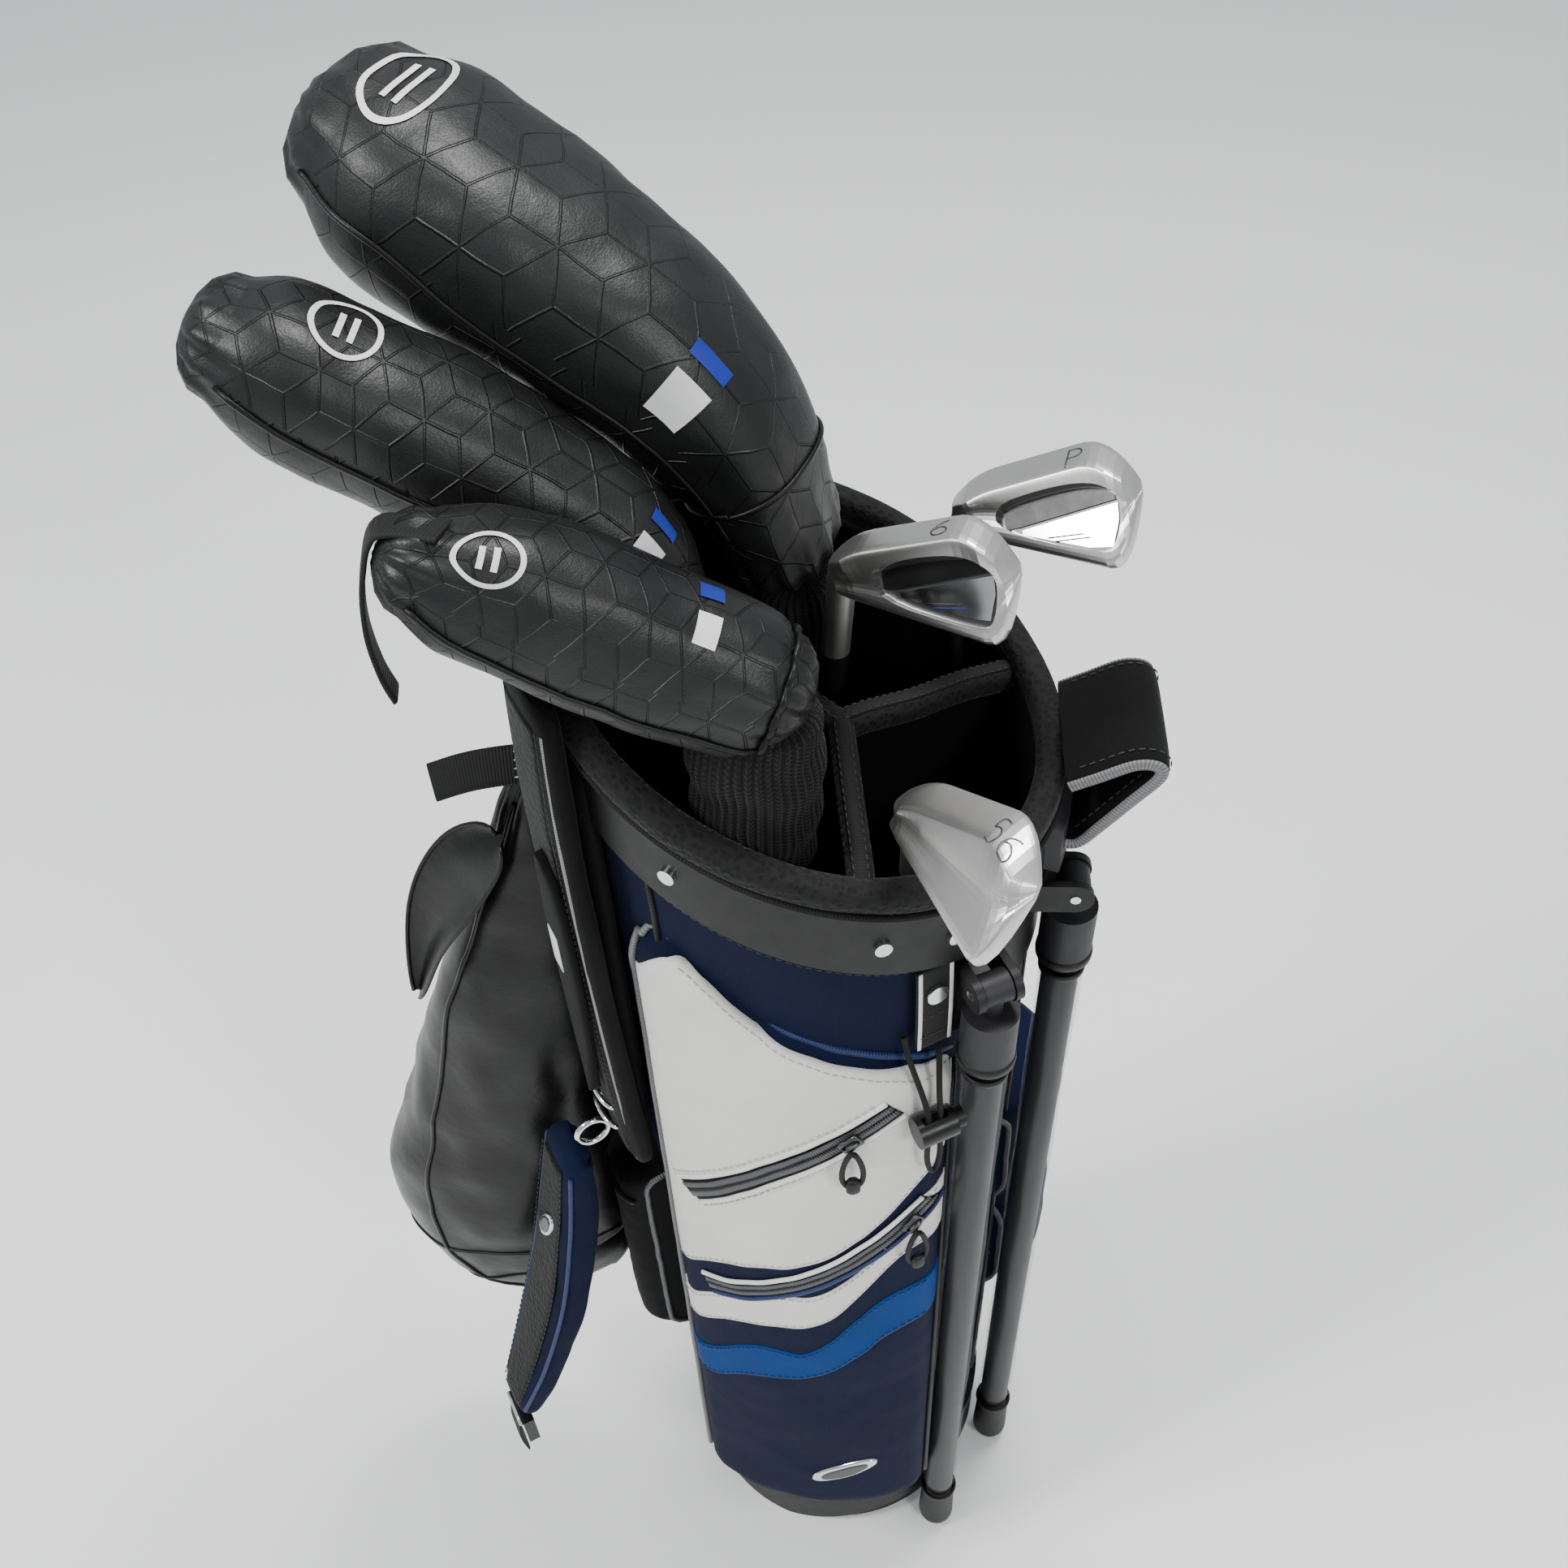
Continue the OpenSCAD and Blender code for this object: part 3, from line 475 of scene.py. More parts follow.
def cover_leather(name, edge):
    """Soft coated leather: fine grain, creases and thin sunken pattern lines."""
    look = Look(name, (0.0046, 0.0048, 0.0048), 0.44, Specular_IOR_Level=0.4)
    at = look.place()
    drift = look.node("TexNoise", {"Vector": at, "Scale": 40.0}).outputs["Color"]
    wobble = look.node("VectorMath", {0: drift, 1: (0.0025, 0.0025, 0.0)}, operation="MULTIPLY").outputs[0]
    uv = look.node("VectorMath", {0: look.place("UV"), 1: wobble}, operation="ADD").outputs[0]
    flat = rhombille(look, uv, edge, 0.65)
    grain = look.cells(at, 0.9)
    mottle = look.cloud(at, 35, 5)
    shade = look.times(look.times_add(mottle, 0.7, 0.25), look.times_add(flat, 0.75, 0.25))
    look.tint(shade, 0.3, 1.5)
    look.shine(look.times_add(grain, 0.4, look.times(look.cloud(at, 12, 5), 0.6)), 0.3, 0.58)
    look.bump(flat, 0.8, 0.9)
    look.bump(look.cloud(at, 16, 4), 1.2, 0.45)
    look.bump(grain, 0.12, 0.5)
    return look.mat


def plain_leather(name, rough=0.4, crease=18):
    """Coated black cloth with soft creases of that size."""
    look = Look(name, (0.0026, 0.0026, 0.0028), rough, Specular_IOR_Level=0.27)
    at = look.place()
    look.tint(look.cloud(at, 40, 5), 0.6, 1.5)
    look.shine(look.cloud(at, 20, 5), rough - 0.12, rough + 0.15)
    look.bump(look.cloud(at, crease, 5), 1.6, 0.5)
    look.bump(look.cells(at, 0.9), 0.1, 0.5)
    return look.mat


def clear_plastic(name):
    """Thin clear film with long wrinkles."""
    look = Look(name, (0.16, 0.16, 0.165), 0.16, Alpha=0.18, Specular_IOR_Level=0.5)
    at = look.place("Object", (1, 1, 0.25))
    look.bump(look.cloud(at, 7, 4), 0.8, 0.55)
    look.shine(look.cloud(at, 20, 4), 0.08, 0.3)
    return look.mat


NAVY = cloth("navy_cloth", (0.0030, 0.0062, 0.026), 0.74, sheen=0.015)
NAVY_TRIM = cloth("navy_trim_cloth", (0.015, 0.036, 0.13), 0.55, sheen=0.08)
BLUE = cloth("blue_cloth", (0.001, 0.040, 0.18), 0.7, sheen=0.01)
WHITE = cloth("white_cloth", (0.72, 0.715, 0.68), 0.62, sheen=0.03, contrast=0.06)
BLACK = cloth("black_cloth", (0.0028, 0.0028, 0.0032), 0.72, sheen=0.03)
LINING = cloth("lining_cloth", (0.0016, 0.0016, 0.0018), 0.85, sheen=0.02)
AIR_MESH = mesh_cloth("padded_mesh", (0.0034, 0.0034, 0.0036))
NEOPRENE = cloth("neoprene", (0.003, 0.003, 0.0032), 0.8, pitch=0.8, sheen=0.06)
WEB = webbing("black_webbing", (0.0032, 0.0032, 0.0036))
GREY_PIPE = webbing("grey_piping", (0.16, 0.16, 0.165), 0.5)
PALE_PIPE = webbing("pale_piping", (0.22, 0.22, 0.215), 0.45)
BLACK_PIPE = webbing("black_piping", (0.0032, 0.0032, 0.0036), 0.5)
BLUE_PIPE = webbing("blue_piping", (0.012, 0.028, 0.10), 0.5)
REFLECT = webbing("reflective_tape", (0.06, 0.063, 0.07), 0.35)
WHITE_THREAD = webbing("white_thread", (0.62, 0.62, 0.60), 0.6)
GREY_THREAD = webbing("grey_thread", (0.045, 0.045, 0.045), 0.7)
CORD = webbing("braided_cord", (0.003, 0.003, 0.0034), 0.65)
DRIVER_LEATHER = cover_leather("driver_cover_leather", 19.0)
SMALL_LEATHER = cover_leather("small_cover_leather", 14.0)
GUSSET = plain_leather("gusset_leather", 0.42)
GLOSS_POUCH = plain_leather("gloss_pouch_cloth", 0.34, 30)
KNIT = knit("ribbed_knit", (0.003, 0.003, 0.0032))
MARK_WHITE = moulded("printed_white", (0.66, 0.66, 0.65), 0.4, 1.5, 0.05)
MARK_BLUE = moulded("printed_blue", (0.006, 0.022, 0.24), 0.4, 1.5, 0.05)
BLACK_PLASTIC = moulded("black_plastic", (0.0038, 0.0038, 0.0042), 0.48)
GLOSS_PLASTIC = moulded("gloss_black_plastic", (0.0035, 0.0035, 0.0038), 0.3, 2.0, 0.03)
GREY_PLASTIC = moulded("grey_plastic", (0.014, 0.014, 0.0155), 0.5)
GRIP = moulded("grip_rubber", (0.004, 0.004, 0.004), 0.8, 2.4, 0.4)
CHROME = metal("chrome", (0.72, 0.72, 0.73), 0.12)
STEEL = metal("steel", (0.55, 0.55, 0.56), 0.32)
DARK_STEEL = metal("dark_steel", (0.10, 0.10, 0.105), 0.38)
SATIN = metal("satin_head", (0.66, 0.65, 0.63), 0.34, (1, 1, 6))
SHAFT = metal("grey_shaft", (0.12, 0.12, 0.125), 0.3, (1, 1, 0.05))
LEG = metal("leg_tube", (0.022, 0.022, 0.023), 0.42, (1, 1, 0.05))
CLEAR = clear_plastic("clear_sleeve")
FLOOR = Look("floor", (0.93, 0.93, 0.925), 0.9).mat


def dress(look, *names):
    """Gives CAD nodes a material."""
    for name in names:
        mesh = NODES[name].data
        mesh.materials.clear()
        mesh.materials.append(look)


# ---------- camera, floor and light ----------

CAMERA_AT = (0.2495, -0.4970, 1.2135)
CAMERA_AHEAD = (-0.3326, 0.6254, -0.7059)
CAMERA_LEVEL = (0.8829, 0.4695, 0)
CAMERA_ROLL = -3.72


def make_camera():
    """The photograph's view: from above, a little rolled."""
    data = bpy.data.cameras.new("camera")
    data.lens = 37.27
    data.sensor_width = 36
    camera = bpy.data.objects.new("camera", data)
    bpy.context.scene.collection.objects.link(camera)
    ahead = Vector(CAMERA_AHEAD).normalized()
    level = Vector(CAMERA_LEVEL).normalized()
    roll = math.radians(CAMERA_ROLL)
    upright = level.cross(ahead)
    right = level * math.cos(roll) + upright * math.sin(roll)
    up = upright * math.cos(roll) - level * math.sin(roll)
    turned = Matrix((right, up, -ahead)).transposed().to_4x4()
    camera.matrix_world = Matrix.Translation(CAMERA_AT) @ turned
    bpy.context.scene.camera = camera


make_camera()

# ---------- elastic cord ----------

CORD_R = 1.5
CORD_ROUTE = [(113, -44, 596), (118, -43.5, 582), (126, -42, 562), (130, -41.4, 548), (130, -41.4, 532),
              (130, -41.6, 516), (130, -41, 505), (130, -40, 501), (130, -39, 505), (130, -38.4, 516),
              (130, -38.6, 532), (130, -38.6, 548), (126, -38, 562), (118, -36, 580), (113, -35, 584)]


def elastic_cord():
    """The cord from the collar through the cord lock and back. Its route is radius, azimuth and height."""
    path = spline([polar(*p) for p in CORD_ROUTE], 6)
    curve = bpy.data.curves.new("elastic_cord_line", "CURVE")
    curve.dimensions = "3D"
    curve.bevel_depth = CORD_R * MM
    curve.bevel_resolution = 4
    line = curve.splines.new("POLY")
    line.points.add(len(path) - 1)
    for point, p in zip(line.points, path * MM):
        point.co = (*p, 1)
    curve.materials.append(CORD)
    piece = bpy.data.objects.new("elastic_cord_braid", curve)
    bpy.context.scene.collection.objects.link(piece)
    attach(piece, "bag")
    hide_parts("elastic_cord")


elastic_cord()

# ---------- layers sewn onto a surface ----------
# A surface is a function of two coordinates and a lift in millimetres that gives a point.


def patch(name, surface, a, b, lift, material, body, slot):
    """A sewn-on layer: surface coordinates a and b as grids, raised by lift, with its edge turned down."""
    a, b = np.broadcast_arrays(np.asarray(a, float), np.asarray(b, float))
    a, b = np.pad(a, 1, mode="edge"), np.pad(b, 1, mode="edge")
    lifts = np.full(a.shape, -0.5)
    lifts[1:-1, 1:-1] = lift * 0.75
    lifts[2:-2, 2:-2] = lift
    p = np.array([[surface(*abc) for abc in zip(*row)] for row in zip(a, b, lifts)])
    return grid(name, p, material, body, slot)


def laid(surface, points, low, high):
    """A path on a surface at lift low, and its sideways direction. high is a lift above it."""
    path = np.array([surface(u, v, low) for u, v in points])
    up = np.array([surface(u, v, high) for u, v in points]) - path
    return path, np.cross(up, np.gradient(path, axis=0))


def trim(name, surface, points, lift, half, thick, material, body, slot, power=2.0, smooth=6):
    """A cord, welt or flat tape laid along surface points, half wide and thick high."""
    q = spline(points, smooth) if smooth else np.asarray(points, float)
    path, side = laid(surface, q, lift, lift + 2)
    return sweep(name, path, half, thick, material, body, slot, side=side, n=8, power=power)


def seam(name, surface, points, lift, material, body, slot):
    """A row of stitches along surface points."""
    path, side = laid(surface, spline(points, 8), lift, lift + 2)
    return stitches(name, path, side, material, body, slot)


class Skin:
    """A lofted surface that can be sampled: v millimetres along and u millimetres round."""

    def __init__(self, p):
        self.p = p
        self.n = p.shape[1]
        self.run = run_along(p.mean(1))
        self.long = self.run[-1]

    def at(self, v, turn_part):
        """Point at v along the centre line and a fraction of a turn round it."""
        i = np.interp(v, self.run, np.arange(len(self.run)))
        j = (turn_part % 1.0) * self.n
        i0, j0 = min(int(i), len(self.run) - 2), int(j) % self.n
        f, g = i - i0, j - int(j)
        j1 = (j0 + 1) % self.n
        top = self.p[i0, j0] * (1 - g) + self.p[i0, j1] * g
        low = self.p[i0 + 1, j0] * (1 - g) + self.p[i0 + 1, j1] * g
        return top * (1 - f) + low * f

    def __call__(self, v, turn_part, lift):
        c = self.at(v, turn_part)
        dv = self.at(v + 1.5, turn_part) - self.at(v - 1.5, turn_part)
        du = self.at(v, turn_part + 0.01) - self.at(v, turn_part - 0.01)
        return c + unit(np.cross(du, dv)) * lift


def print_on(name, skin, a, b, look, body):
    """A thin print on a cover at grids of skin coordinates."""
    p = np.array([[skin(x, y, 0.5) for x, y in zip(*row)] for row in zip(*np.broadcast_arrays(a, b))])
    grid(name, p, look, body, COVER_SLOT)


def ring_mark(name, skin, v, part, size, turns, body):
    """A plain printed ring round two short bars. size: outer half length, outer half width, band width."""
    rv, ru, band = size
    angle = np.linspace(0, 2 * math.pi, 41)[None, :]
    scale = np.linspace(1.0, 1 - band / rv, 4)[:, None]
    print_on(name + "_ring", skin, v + rv * scale * np.cos(angle + turns),
             part + ru * scale * np.sin(angle + turns), MARK_WHITE, body)
    for k, at in enumerate((-0.2, 0.2)):
        x = v + rv * (at + 0.09 * np.linspace(-1, 1, 3)[:, None])
        y = part + ru * 0.42 * np.linspace(-1, 1, 7)[None, :]
        print_on(f"{name}_bar_{k + 1}", skin, x, y, MARK_WHITE, body)


def block_marks(name, skin, v, part, size, body):
    """A plain white printed block with a blue one beside it. size: length in mm, width and step in turns."""
    length, width, step = size
    for k, (look, centre, wide) in enumerate(((MARK_WHITE, -0.5, 2.2), (MARK_BLUE, 1.05, 0.8))):
        s = np.linspace(-0.5, 0.5, 7)[:, None]
        t = np.linspace(-0.5, 0.5, 5)[None, :]
        print_on(f"{name}_{k + 1}", skin, v + length * s, part + step * centre + width * wide * t, look, body)


# ---------- body cloth, rim, divider ----------

def body_skin(az, z, lift=0.0):
    """The bag's cloth at azimuth az and height z, slightly uneven."""
    r = cone_r(z) + 0.8 + lift
    q = polar(cone_r(z), az, z)
    r += 0.9 * ripple(q * (1, 1, 0.35), 34) + 0.4 * ripple(q, 13, 5)
    return polar(r, az, z)


def bag_body():
    """The bag's cloth with its inner face, its lining and the welts and stitches on it."""
    az = np.arange(0, 360, 2.5)
    tops = [rim_height(a, HEM_DROP, HEM_R) for a in az]
    rows = []
    for t in np.linspace(0, 1, 70):
        rows.append([body_skin(a, HEM_LOW + t * (top - HEM_LOW)) for a, top in zip(az, tops)])
    for t in (1, 0.95, 0.7, 0.35, 0):
        zs = [HEM_LOW + t * (top - HEM_LOW) for top in tops]
        rows.append([polar(cone_r(z) - 2.6, a, z) for a, z in zip(az, zs)])
    cloth_piece = grid("body_cloth", rows, NAVY, *ON_CLOTH, wrap=True)
    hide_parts("body_shell")
    lining, lining_low = [], 74
    for t in np.linspace(0, 1, 30):
        ring = []
        for a in az[::2]:
            z = lining_low + t * (rim_height(a, -6, 108) - lining_low)
            r = min(cone_r(z) - 3.6, 107.5) + 0.8 * ripple(polar(cone_r(z), a, z), 40, 3)
            ring.append(polar(r, a, z))
        lining.append(ring)
    grid("body_lining", lining, LINING, *ON_CLOTH, wrap=True, flip=True)
    for k, a in enumerate((-160, -104, 62, 100, 160)):
        line = [(82, 0), (300, 0), (rim_height(a, -52, HEM_R), 0)]
        trim(f"body_welt_{k + 1}", lambda z, s, off, a=a: body_skin(a + s, z, off), line, 0.9, 1.5, 1.3,
             BLACK_PIPE, *ON_CLOTH, smooth=12)
    for k, off in enumerate((-50.5, -54)):
        loop = [polar(cone_r(rim_height(a, off)) + 2.0, a, rim_height(a, off, 112))
                for a in np.arange(0, 360, 1.5)]
        stitches(f"collar_stitches_{k + 1}", loop + loop[:1], (0, 0, 1), GREY_THREAD, *ON_CLOTH)


def rim_line(r, off, az):
    """A line round the sloped rim at radius r, moved by off."""
    return np.array([polar(r, a, rim_height(a, off, r)) for a in az])


def rim_roll():
    """The padded mesh roll on the rim with its bindings."""
    az = np.arange(0, 360, 2.0)
    path = rim_line(113.2, 1.2, az)
    side = path * (1, 1, 0)
    swell = 1 + 0.05 * np.array([ripple(p, 26, 2) for p in path])
    roll = sweep("rim_roll", path, 7.2 * swell, 7.4 * swell, AIR_MESH, *ON_MESH, side=side, n=20,
                 power=2.5, closed=True)
    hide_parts("rim_pad")
    sweep("rim_binding", rim_line(118.9, -5.6, az), 2.0, 1.3, WEB, *ON_MESH, side=side, n=8, closed=True)
    sweep("rim_inner_binding", rim_line(107.4, -6.2, az), 2.2, 1.2, WEB, *ON_MESH, side=(0, 0, 1), n=8,
          closed=True)
    stitches("rim_stitches", rim_line(120.0, -5.0, np.append(az, 0)), (0, 0, 1), GREY_THREAD, *ON_MESH, 2.6,
             1.8, 0.3)


def divider_bar(az, reach):
    """One padded arm of the divider, with its tape, stitches and the cloth hanging from it."""
    c, s, _ = side_of(az)
    wide = np.array([-s, c, 0])
    steps = np.linspace(0, reach, 26)
    x, y = DIVIDER_MIDDLE[0] + c * steps, DIVIDER_MIDDLE[1] + s * steps

    def height(x, off):
        return RIM_Z + off - RIM_FALL * x

    path = np.stack([x, y, height(x, -12.0) + 0.7 * np.sin(steps / 9.0)], 1)
    name = f"divider_bar_{int(az) % 360}"
    bar = sweep(name, path, 6.2, 7.6, AIR_MESH, *ON_MESH, side=wide, n=18, power=2.3)
    top = path + [0, 0, 6.8]
    sweep(name + "_tape", top, 3.9, 1.1, WEB, *ON_MESH, side=wide, n=8, power=3)
    for k, off in enumerate((3.2, -3.2)):
        line = top + wide * off + [0, 0, 0.9]
        stitches(f"{name}_stitches_{k + 1}", line, wide, GREY_THREAD, *ON_MESH, 2.6, 1.8, 0.28)
    deep = 140
    rows = []
    for depth in np.linspace(0, 1, 14):
        sway = 2.4 * math.sin(depth * 5.5 + az) * depth
        ring = []
        for i, q in enumerate(steps[:-1]):
            w = sway * math.sin(math.pi * q / reach)
            ring.append((x[i] - s * w, y[i] + c * w, height(x[i], -16) - depth * deep))
        rows.append(ring)
    sheet = grid(name + "_sheet", rows, LINING, *ON_MESH)
    return bar


def divider():
    """The three-way divider under the rim."""
    bars = [divider_bar(-60, 89), divider_bar(60, 100), divider_bar(180, 125)]
    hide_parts("divider")


# ---------- front pocket ----------

POCKET_TOP = [(-80, 634), (-72, 648), (-60, 651), (-45, 639), (-20, 612), (5, 595), (30, 581), (55, 566),
              (69, 552)]


def pocket_right(z):
    """The pocket's right edge, which leans out as it rises."""
    return 60 + 9 * (z - POCKET_LOW) / 478


def pocket_top(y):
    """Height of the pocket's top edge at y."""
    return float(np.interp(y, *zip(*POCKET_TOP)))


def pocket_front(y, z, lift=0.0):
    """The front pocket's cloth at pocket coordinates y and z, wrapping round its edges to the body."""
    right = pocket_right(z)
    y_in = min(max(y, POCKET_LEFT), right)
    top = pocket_top(y_in)
    z_in = min(z, top)
    side, rise = abs(y - y_in), max(z - top, 0.0)
    depth = math.sqrt(POCKET_R**2 - y_in**2)
    x = POCKET_C - (z_in - 60) * POCKET_LEAN + depth
    # The face stands no further out than this, which grows with height.
    reach = 100 + (z_in - 72) * 0.613
    if math.hypot(x, y_in) > reach:
        x = math.sqrt(max(reach**2 - y_in**2, 1))
    to_side = [right - y_in, y_in - POCKET_LEFT]
    near = [POCKET_EDGE - d for d in (*to_side, top - z_in) if d < POCKET_EDGE]
    pull = sum(POCKET_EDGE - math.sqrt(max(POCKET_EDGE**2 - d * d, 0)) for d in near)
    inside = math.sqrt(max(cone_r(z_in) ** 2 - y_in**2, 0)) - 2
    x = max(x - pull - side - rise, inside)
    x += 1.1 * ripple((y_in, z_in, 7), 42) + 0.45 * ripple((y_in, z_in, 2), 15)
    at_side = near[0] if min(to_side) < POCKET_EDGE else 0
    lean_y = (1 if y > 0 else -1) * min(at_side + side, POCKET_EDGE) / POCKET_EDGE
    lean_z = min(max(POCKET_EDGE - (top - z_in), 0) + rise, POCKET_EDGE) / POCKET_EDGE
    normal = unit([depth / POCKET_R * (1.02 - max(abs(lean_y), lean_z)), y_in / POCKET_R + lean_y,
                   0.04 + lean_z])
    bulge = 1.6 * math.sin(min(side + rise, 36) / 36 * math.pi)
    point = np.array([x, y_in, z_in + 0.9 * rise]) + normal * (lift + bulge)
    return turn(point, POCKET_AZ)


def clip_y(y, z):
    """y held to where a panel's ends turn under."""
    return min(max(y, -86.0), pocket_right(z) + 8)


# Edge curves of the pocket's panels, in pocket coordinates y and z.
WHITE_TOP = [(-90, 600), (-80, 622), (-70, 640), (-58, 648), (-46, 640), (-32, 625), (-14, 607), (4, 595),
             (26, 583), (52, 569), (78, 553)]
WHITE_LOW = [(-90, 366), (-78, 376), (-57, 397), (-33, 409), (-11, 417), (11, 431), (33, 453), (49, 475),
             (65, 497), (79, 520)]
STRIPE_TOP = [(-90, 334), (-74, 346), (-50, 370), (-21, 384), (-3, 387), (15, 402), (33, 425), (45, 455),
              (58, 468), (80, 472)]
STRIPE_LOW = [(-90, 308), (-73, 319), (-52, 339), (-27, 350), (-6, 354), (10, 367), (28, 394), (45, 418),
              (63, 425), (80, 424)]
BRIGHT_TOP = [(-90, 276), (-70, 289), (-43, 318), (-24, 325), (-10, 324), (5, 337), (23, 362), (41, 380),
              (80, 389)]
BRIGHT_LOW = [(-90, 248), (-68, 260), (-46, 281), (-26, 290), (-11, 295), (4, 304), (23, 322), (41, 340),
              (80, 351)]


def panel(name, top, low, lift, material, place, rows=26, left=-86):
    """A cloth panel of the front pocket between two edge curves."""
    ys = np.linspace(left, 78, 84)
    hi, lo = along(top, ys), along(low, ys)
    b = [lo + t * (hi - lo) for t in np.linspace(0, 1, rows)]
    a = [[clip_y(y, z) for y, z in zip(ys, zs)] for zs in b]
    return patch(name, pocket_front, a, b, lift, material, *place)


def zip_line(y, z, slope, tilt):
    """Height of a zip's centre line on the pocket, a plane cut through its curved face."""
    slope, tilt = math.tan(math.radians(slope)), math.tan(math.radians(tilt))
    return z + (y * slope + (math.sqrt(POCKET_R**2 - y * y) - POCKET_R) * tilt) / (1 + POCKET_LEAN * tilt)


def zip_fastener(name, z, slope, tilt, start, end, width):
    """A zip on the front pocket: its tape, two shiny strips and its teeth. Gives the lines beside it too."""
    ys = np.linspace(start, end, 44)
    zs = np.array([zip_line(y, z, slope, tilt) for y in ys])
    t = unit(np.stack([np.gradient(ys), np.gradient(zs)], 1))

    def across(v):
        return np.stack([ys - t[:, 1] * v, zs + t[:, 0] * v], 1)

    half = width / 2
    bands = np.array([across(v) for v in np.linspace(-half, half, 7)])
    tape = patch(name + "_tape", pocket_front, bands[..., 0], bands[..., 1], 1.3, BLACK, *ON_ZIP)
    for k, v in enumerate((-half * 0.36, half * 0.36)):
        trim(f"{name}_reflector_{k + 1}", pocket_front, across(v), 1.55, half * 0.27, 0.35, REFLECT, *ON_ZIP,
             power=4, smooth=0)
    path, side = laid(pocket_front, spline(across(0.0), 4), 1.65, 4)
    run = run_along(path)
    at = np.arange(1, run[-1] - 1, 1.5)
    teeth = sample(at, run, path)
    beads(name + "_teeth", teeth, sample(at, run, side), np.gradient(teeth, axis=0), (1.5, 0.5, 0.45),
          GLOSS_PLASTIC, *ON_ZIP)
    return tape, across, half


def pocket_shell():
    """The pocket's navy cloth, out to where it meets the body."""
    ys = [*np.linspace(-118, -80, 9), *np.linspace(-78, 58, 64), *np.linspace(60, 104, 14)]
    tops = [pocket_top(min(max(y, POCKET_LEFT), 66.0)) + 40 for y in ys]
    rows = []
    for t in np.linspace(0, 1, 110):
        rows.append([pocket_front(y, POCKET_LOW + t * (top - POCKET_LOW)) for y, top in zip(ys, tops)])
    shell = grid("front_pocket_cloth", rows, NAVY, *ON_CLOTH)
    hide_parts("front_pocket")


def raised(line, by):
    """An edge curve moved up."""
    return [(y, z + by) for y, z in line]


def pocket_panels():
    """The white, navy and blue panels with the stitches along their edges."""
    panel("front_pocket_blue_band", raised(WHITE_TOP, 34), raised(WHITE_TOP, 3), 2.2, NAVY_TRIM, ON_CLOTH,
          16, -54)
    panel("front_pocket_white", raised(WHITE_TOP, -1), WHITE_LOW, 0.8, WHITE, ON_WHITE, 60)
    panel("front_pocket_stripe", STRIPE_TOP, STRIPE_LOW, 0.7, WHITE, ON_WHITE, 14)
    panel("front_pocket_bright_stripe", BRIGHT_TOP, BRIGHT_LOW, 0.7, BLUE, ON_CLOTH, 14)
    edges = (("white_low", WHITE_LOW, 3.0, 1.05, WHITE_THREAD),
             ("stripe_top", STRIPE_TOP, -2.5, 0.95, WHITE_THREAD),
             ("stripe_low", STRIPE_LOW, 2.5, 0.95, WHITE_THREAD),
             ("bright_top", BRIGHT_TOP, -2.5, 0.95, BLUE_PIPE),
             ("bright_low", BRIGHT_LOW, 2.5, 0.95, BLUE_PIPE))
    for label, line, inset, lift, thread in edges:
        q = [(y, z) for y, z in raised(spline(line, 4), inset) if -80 < y < 66]
        seam("front_pocket_stitches_" + label, pocket_front, q, lift, thread, *ON_CLOTH)


def pocket_pipings():
    """The cords sewn into the pocket's edges."""
    top = [(y, z) for y, z in raised(spline(WHITE_TOP, 4), 1.5) if -56 < y < 70]
    trim("front_pocket_top_piping", pocket_front, top, 1.6, 2.0, 2.0, BLUE_PIPE, *ON_CLOTH, smooth=2)
    seam("front_pocket_stitches_top", pocket_front, raised(top, -6), 0.95, WHITE_THREAD, *ON_CLOTH)
    left = [(-80, z) for z in np.linspace(96, 612, 30)] + [(-79, 628), (-75, 643), (-66, 652), (-56, 650)]
    trim("front_pocket_left_piping", pocket_front, left, 1.4, 1.9, 1.9, GREY_PIPE, *ON_CLOTH, smooth=3)
    right = [(pocket_right(z), z) for z in np.linspace(96, 552, 30)]
    trim("front_pocket_right_piping", pocket_front, right, 1.4, 1.7, 1.7, BLACK_PIPE, *ON_CLOTH, smooth=3)
    low = [(y, 88.0) for y in np.linspace(-80, 60, 30)]
    trim("front_pocket_base_piping", pocket_front, low, 1.0, 2.4, 2.0, BLUE_PIPE, *ON_CLOTH, smooth=2)


# Height in the middle of the pocket, slope and forward tilt in degrees.
UPPER_ZIP = (521, 39.6, 20.7)
LOWER_ZIP = (408, 36, -31)


def pocket_zips():
    """Two zips with the lips of cloth beside them."""
    upper, across, half = zip_fastener("zip_upper", *UPPER_ZIP, -66, 42, 15)
    _, across_low, half_low = zip_fastener("zip_lower", *LOWER_ZIP, -62, 61, 13)
    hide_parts("zip_tapes")
    for k, v in enumerate((-half - 0.8, half + 0.8)):
        trim(f"zip_upper_lip_{k + 1}", pocket_front, across(v), 1.5, 1.6, 1.3, WHITE, *ON_WHITE, smooth=2)
        seam(f"zip_upper_stitches_{k + 1}", pocket_front, across(v * 1.35)[::3], 1.0, WHITE_THREAD, *ON_WHITE)
    trim("zip_lower_lip_1", pocket_front, across_low(-half_low - 0.8), 1.3, 1.5, 1.2, BLUE_PIPE, *ON_CLOTH,
         smooth=2)
    trim("zip_lower_lip_2", pocket_front, across_low(half_low + 0.8), 1.5, 1.5, 1.2, WHITE, *ON_WHITE,
         smooth=2)


def front_pocket():
    """The front pocket from its cloth to its badge."""
    pocket_shell()
    pocket_panels()
    pocket_pipings()
    pocket_zips()
    oval_badge("pocket_badge", pocket_front, 11, 175, 23, 7.5, 27)


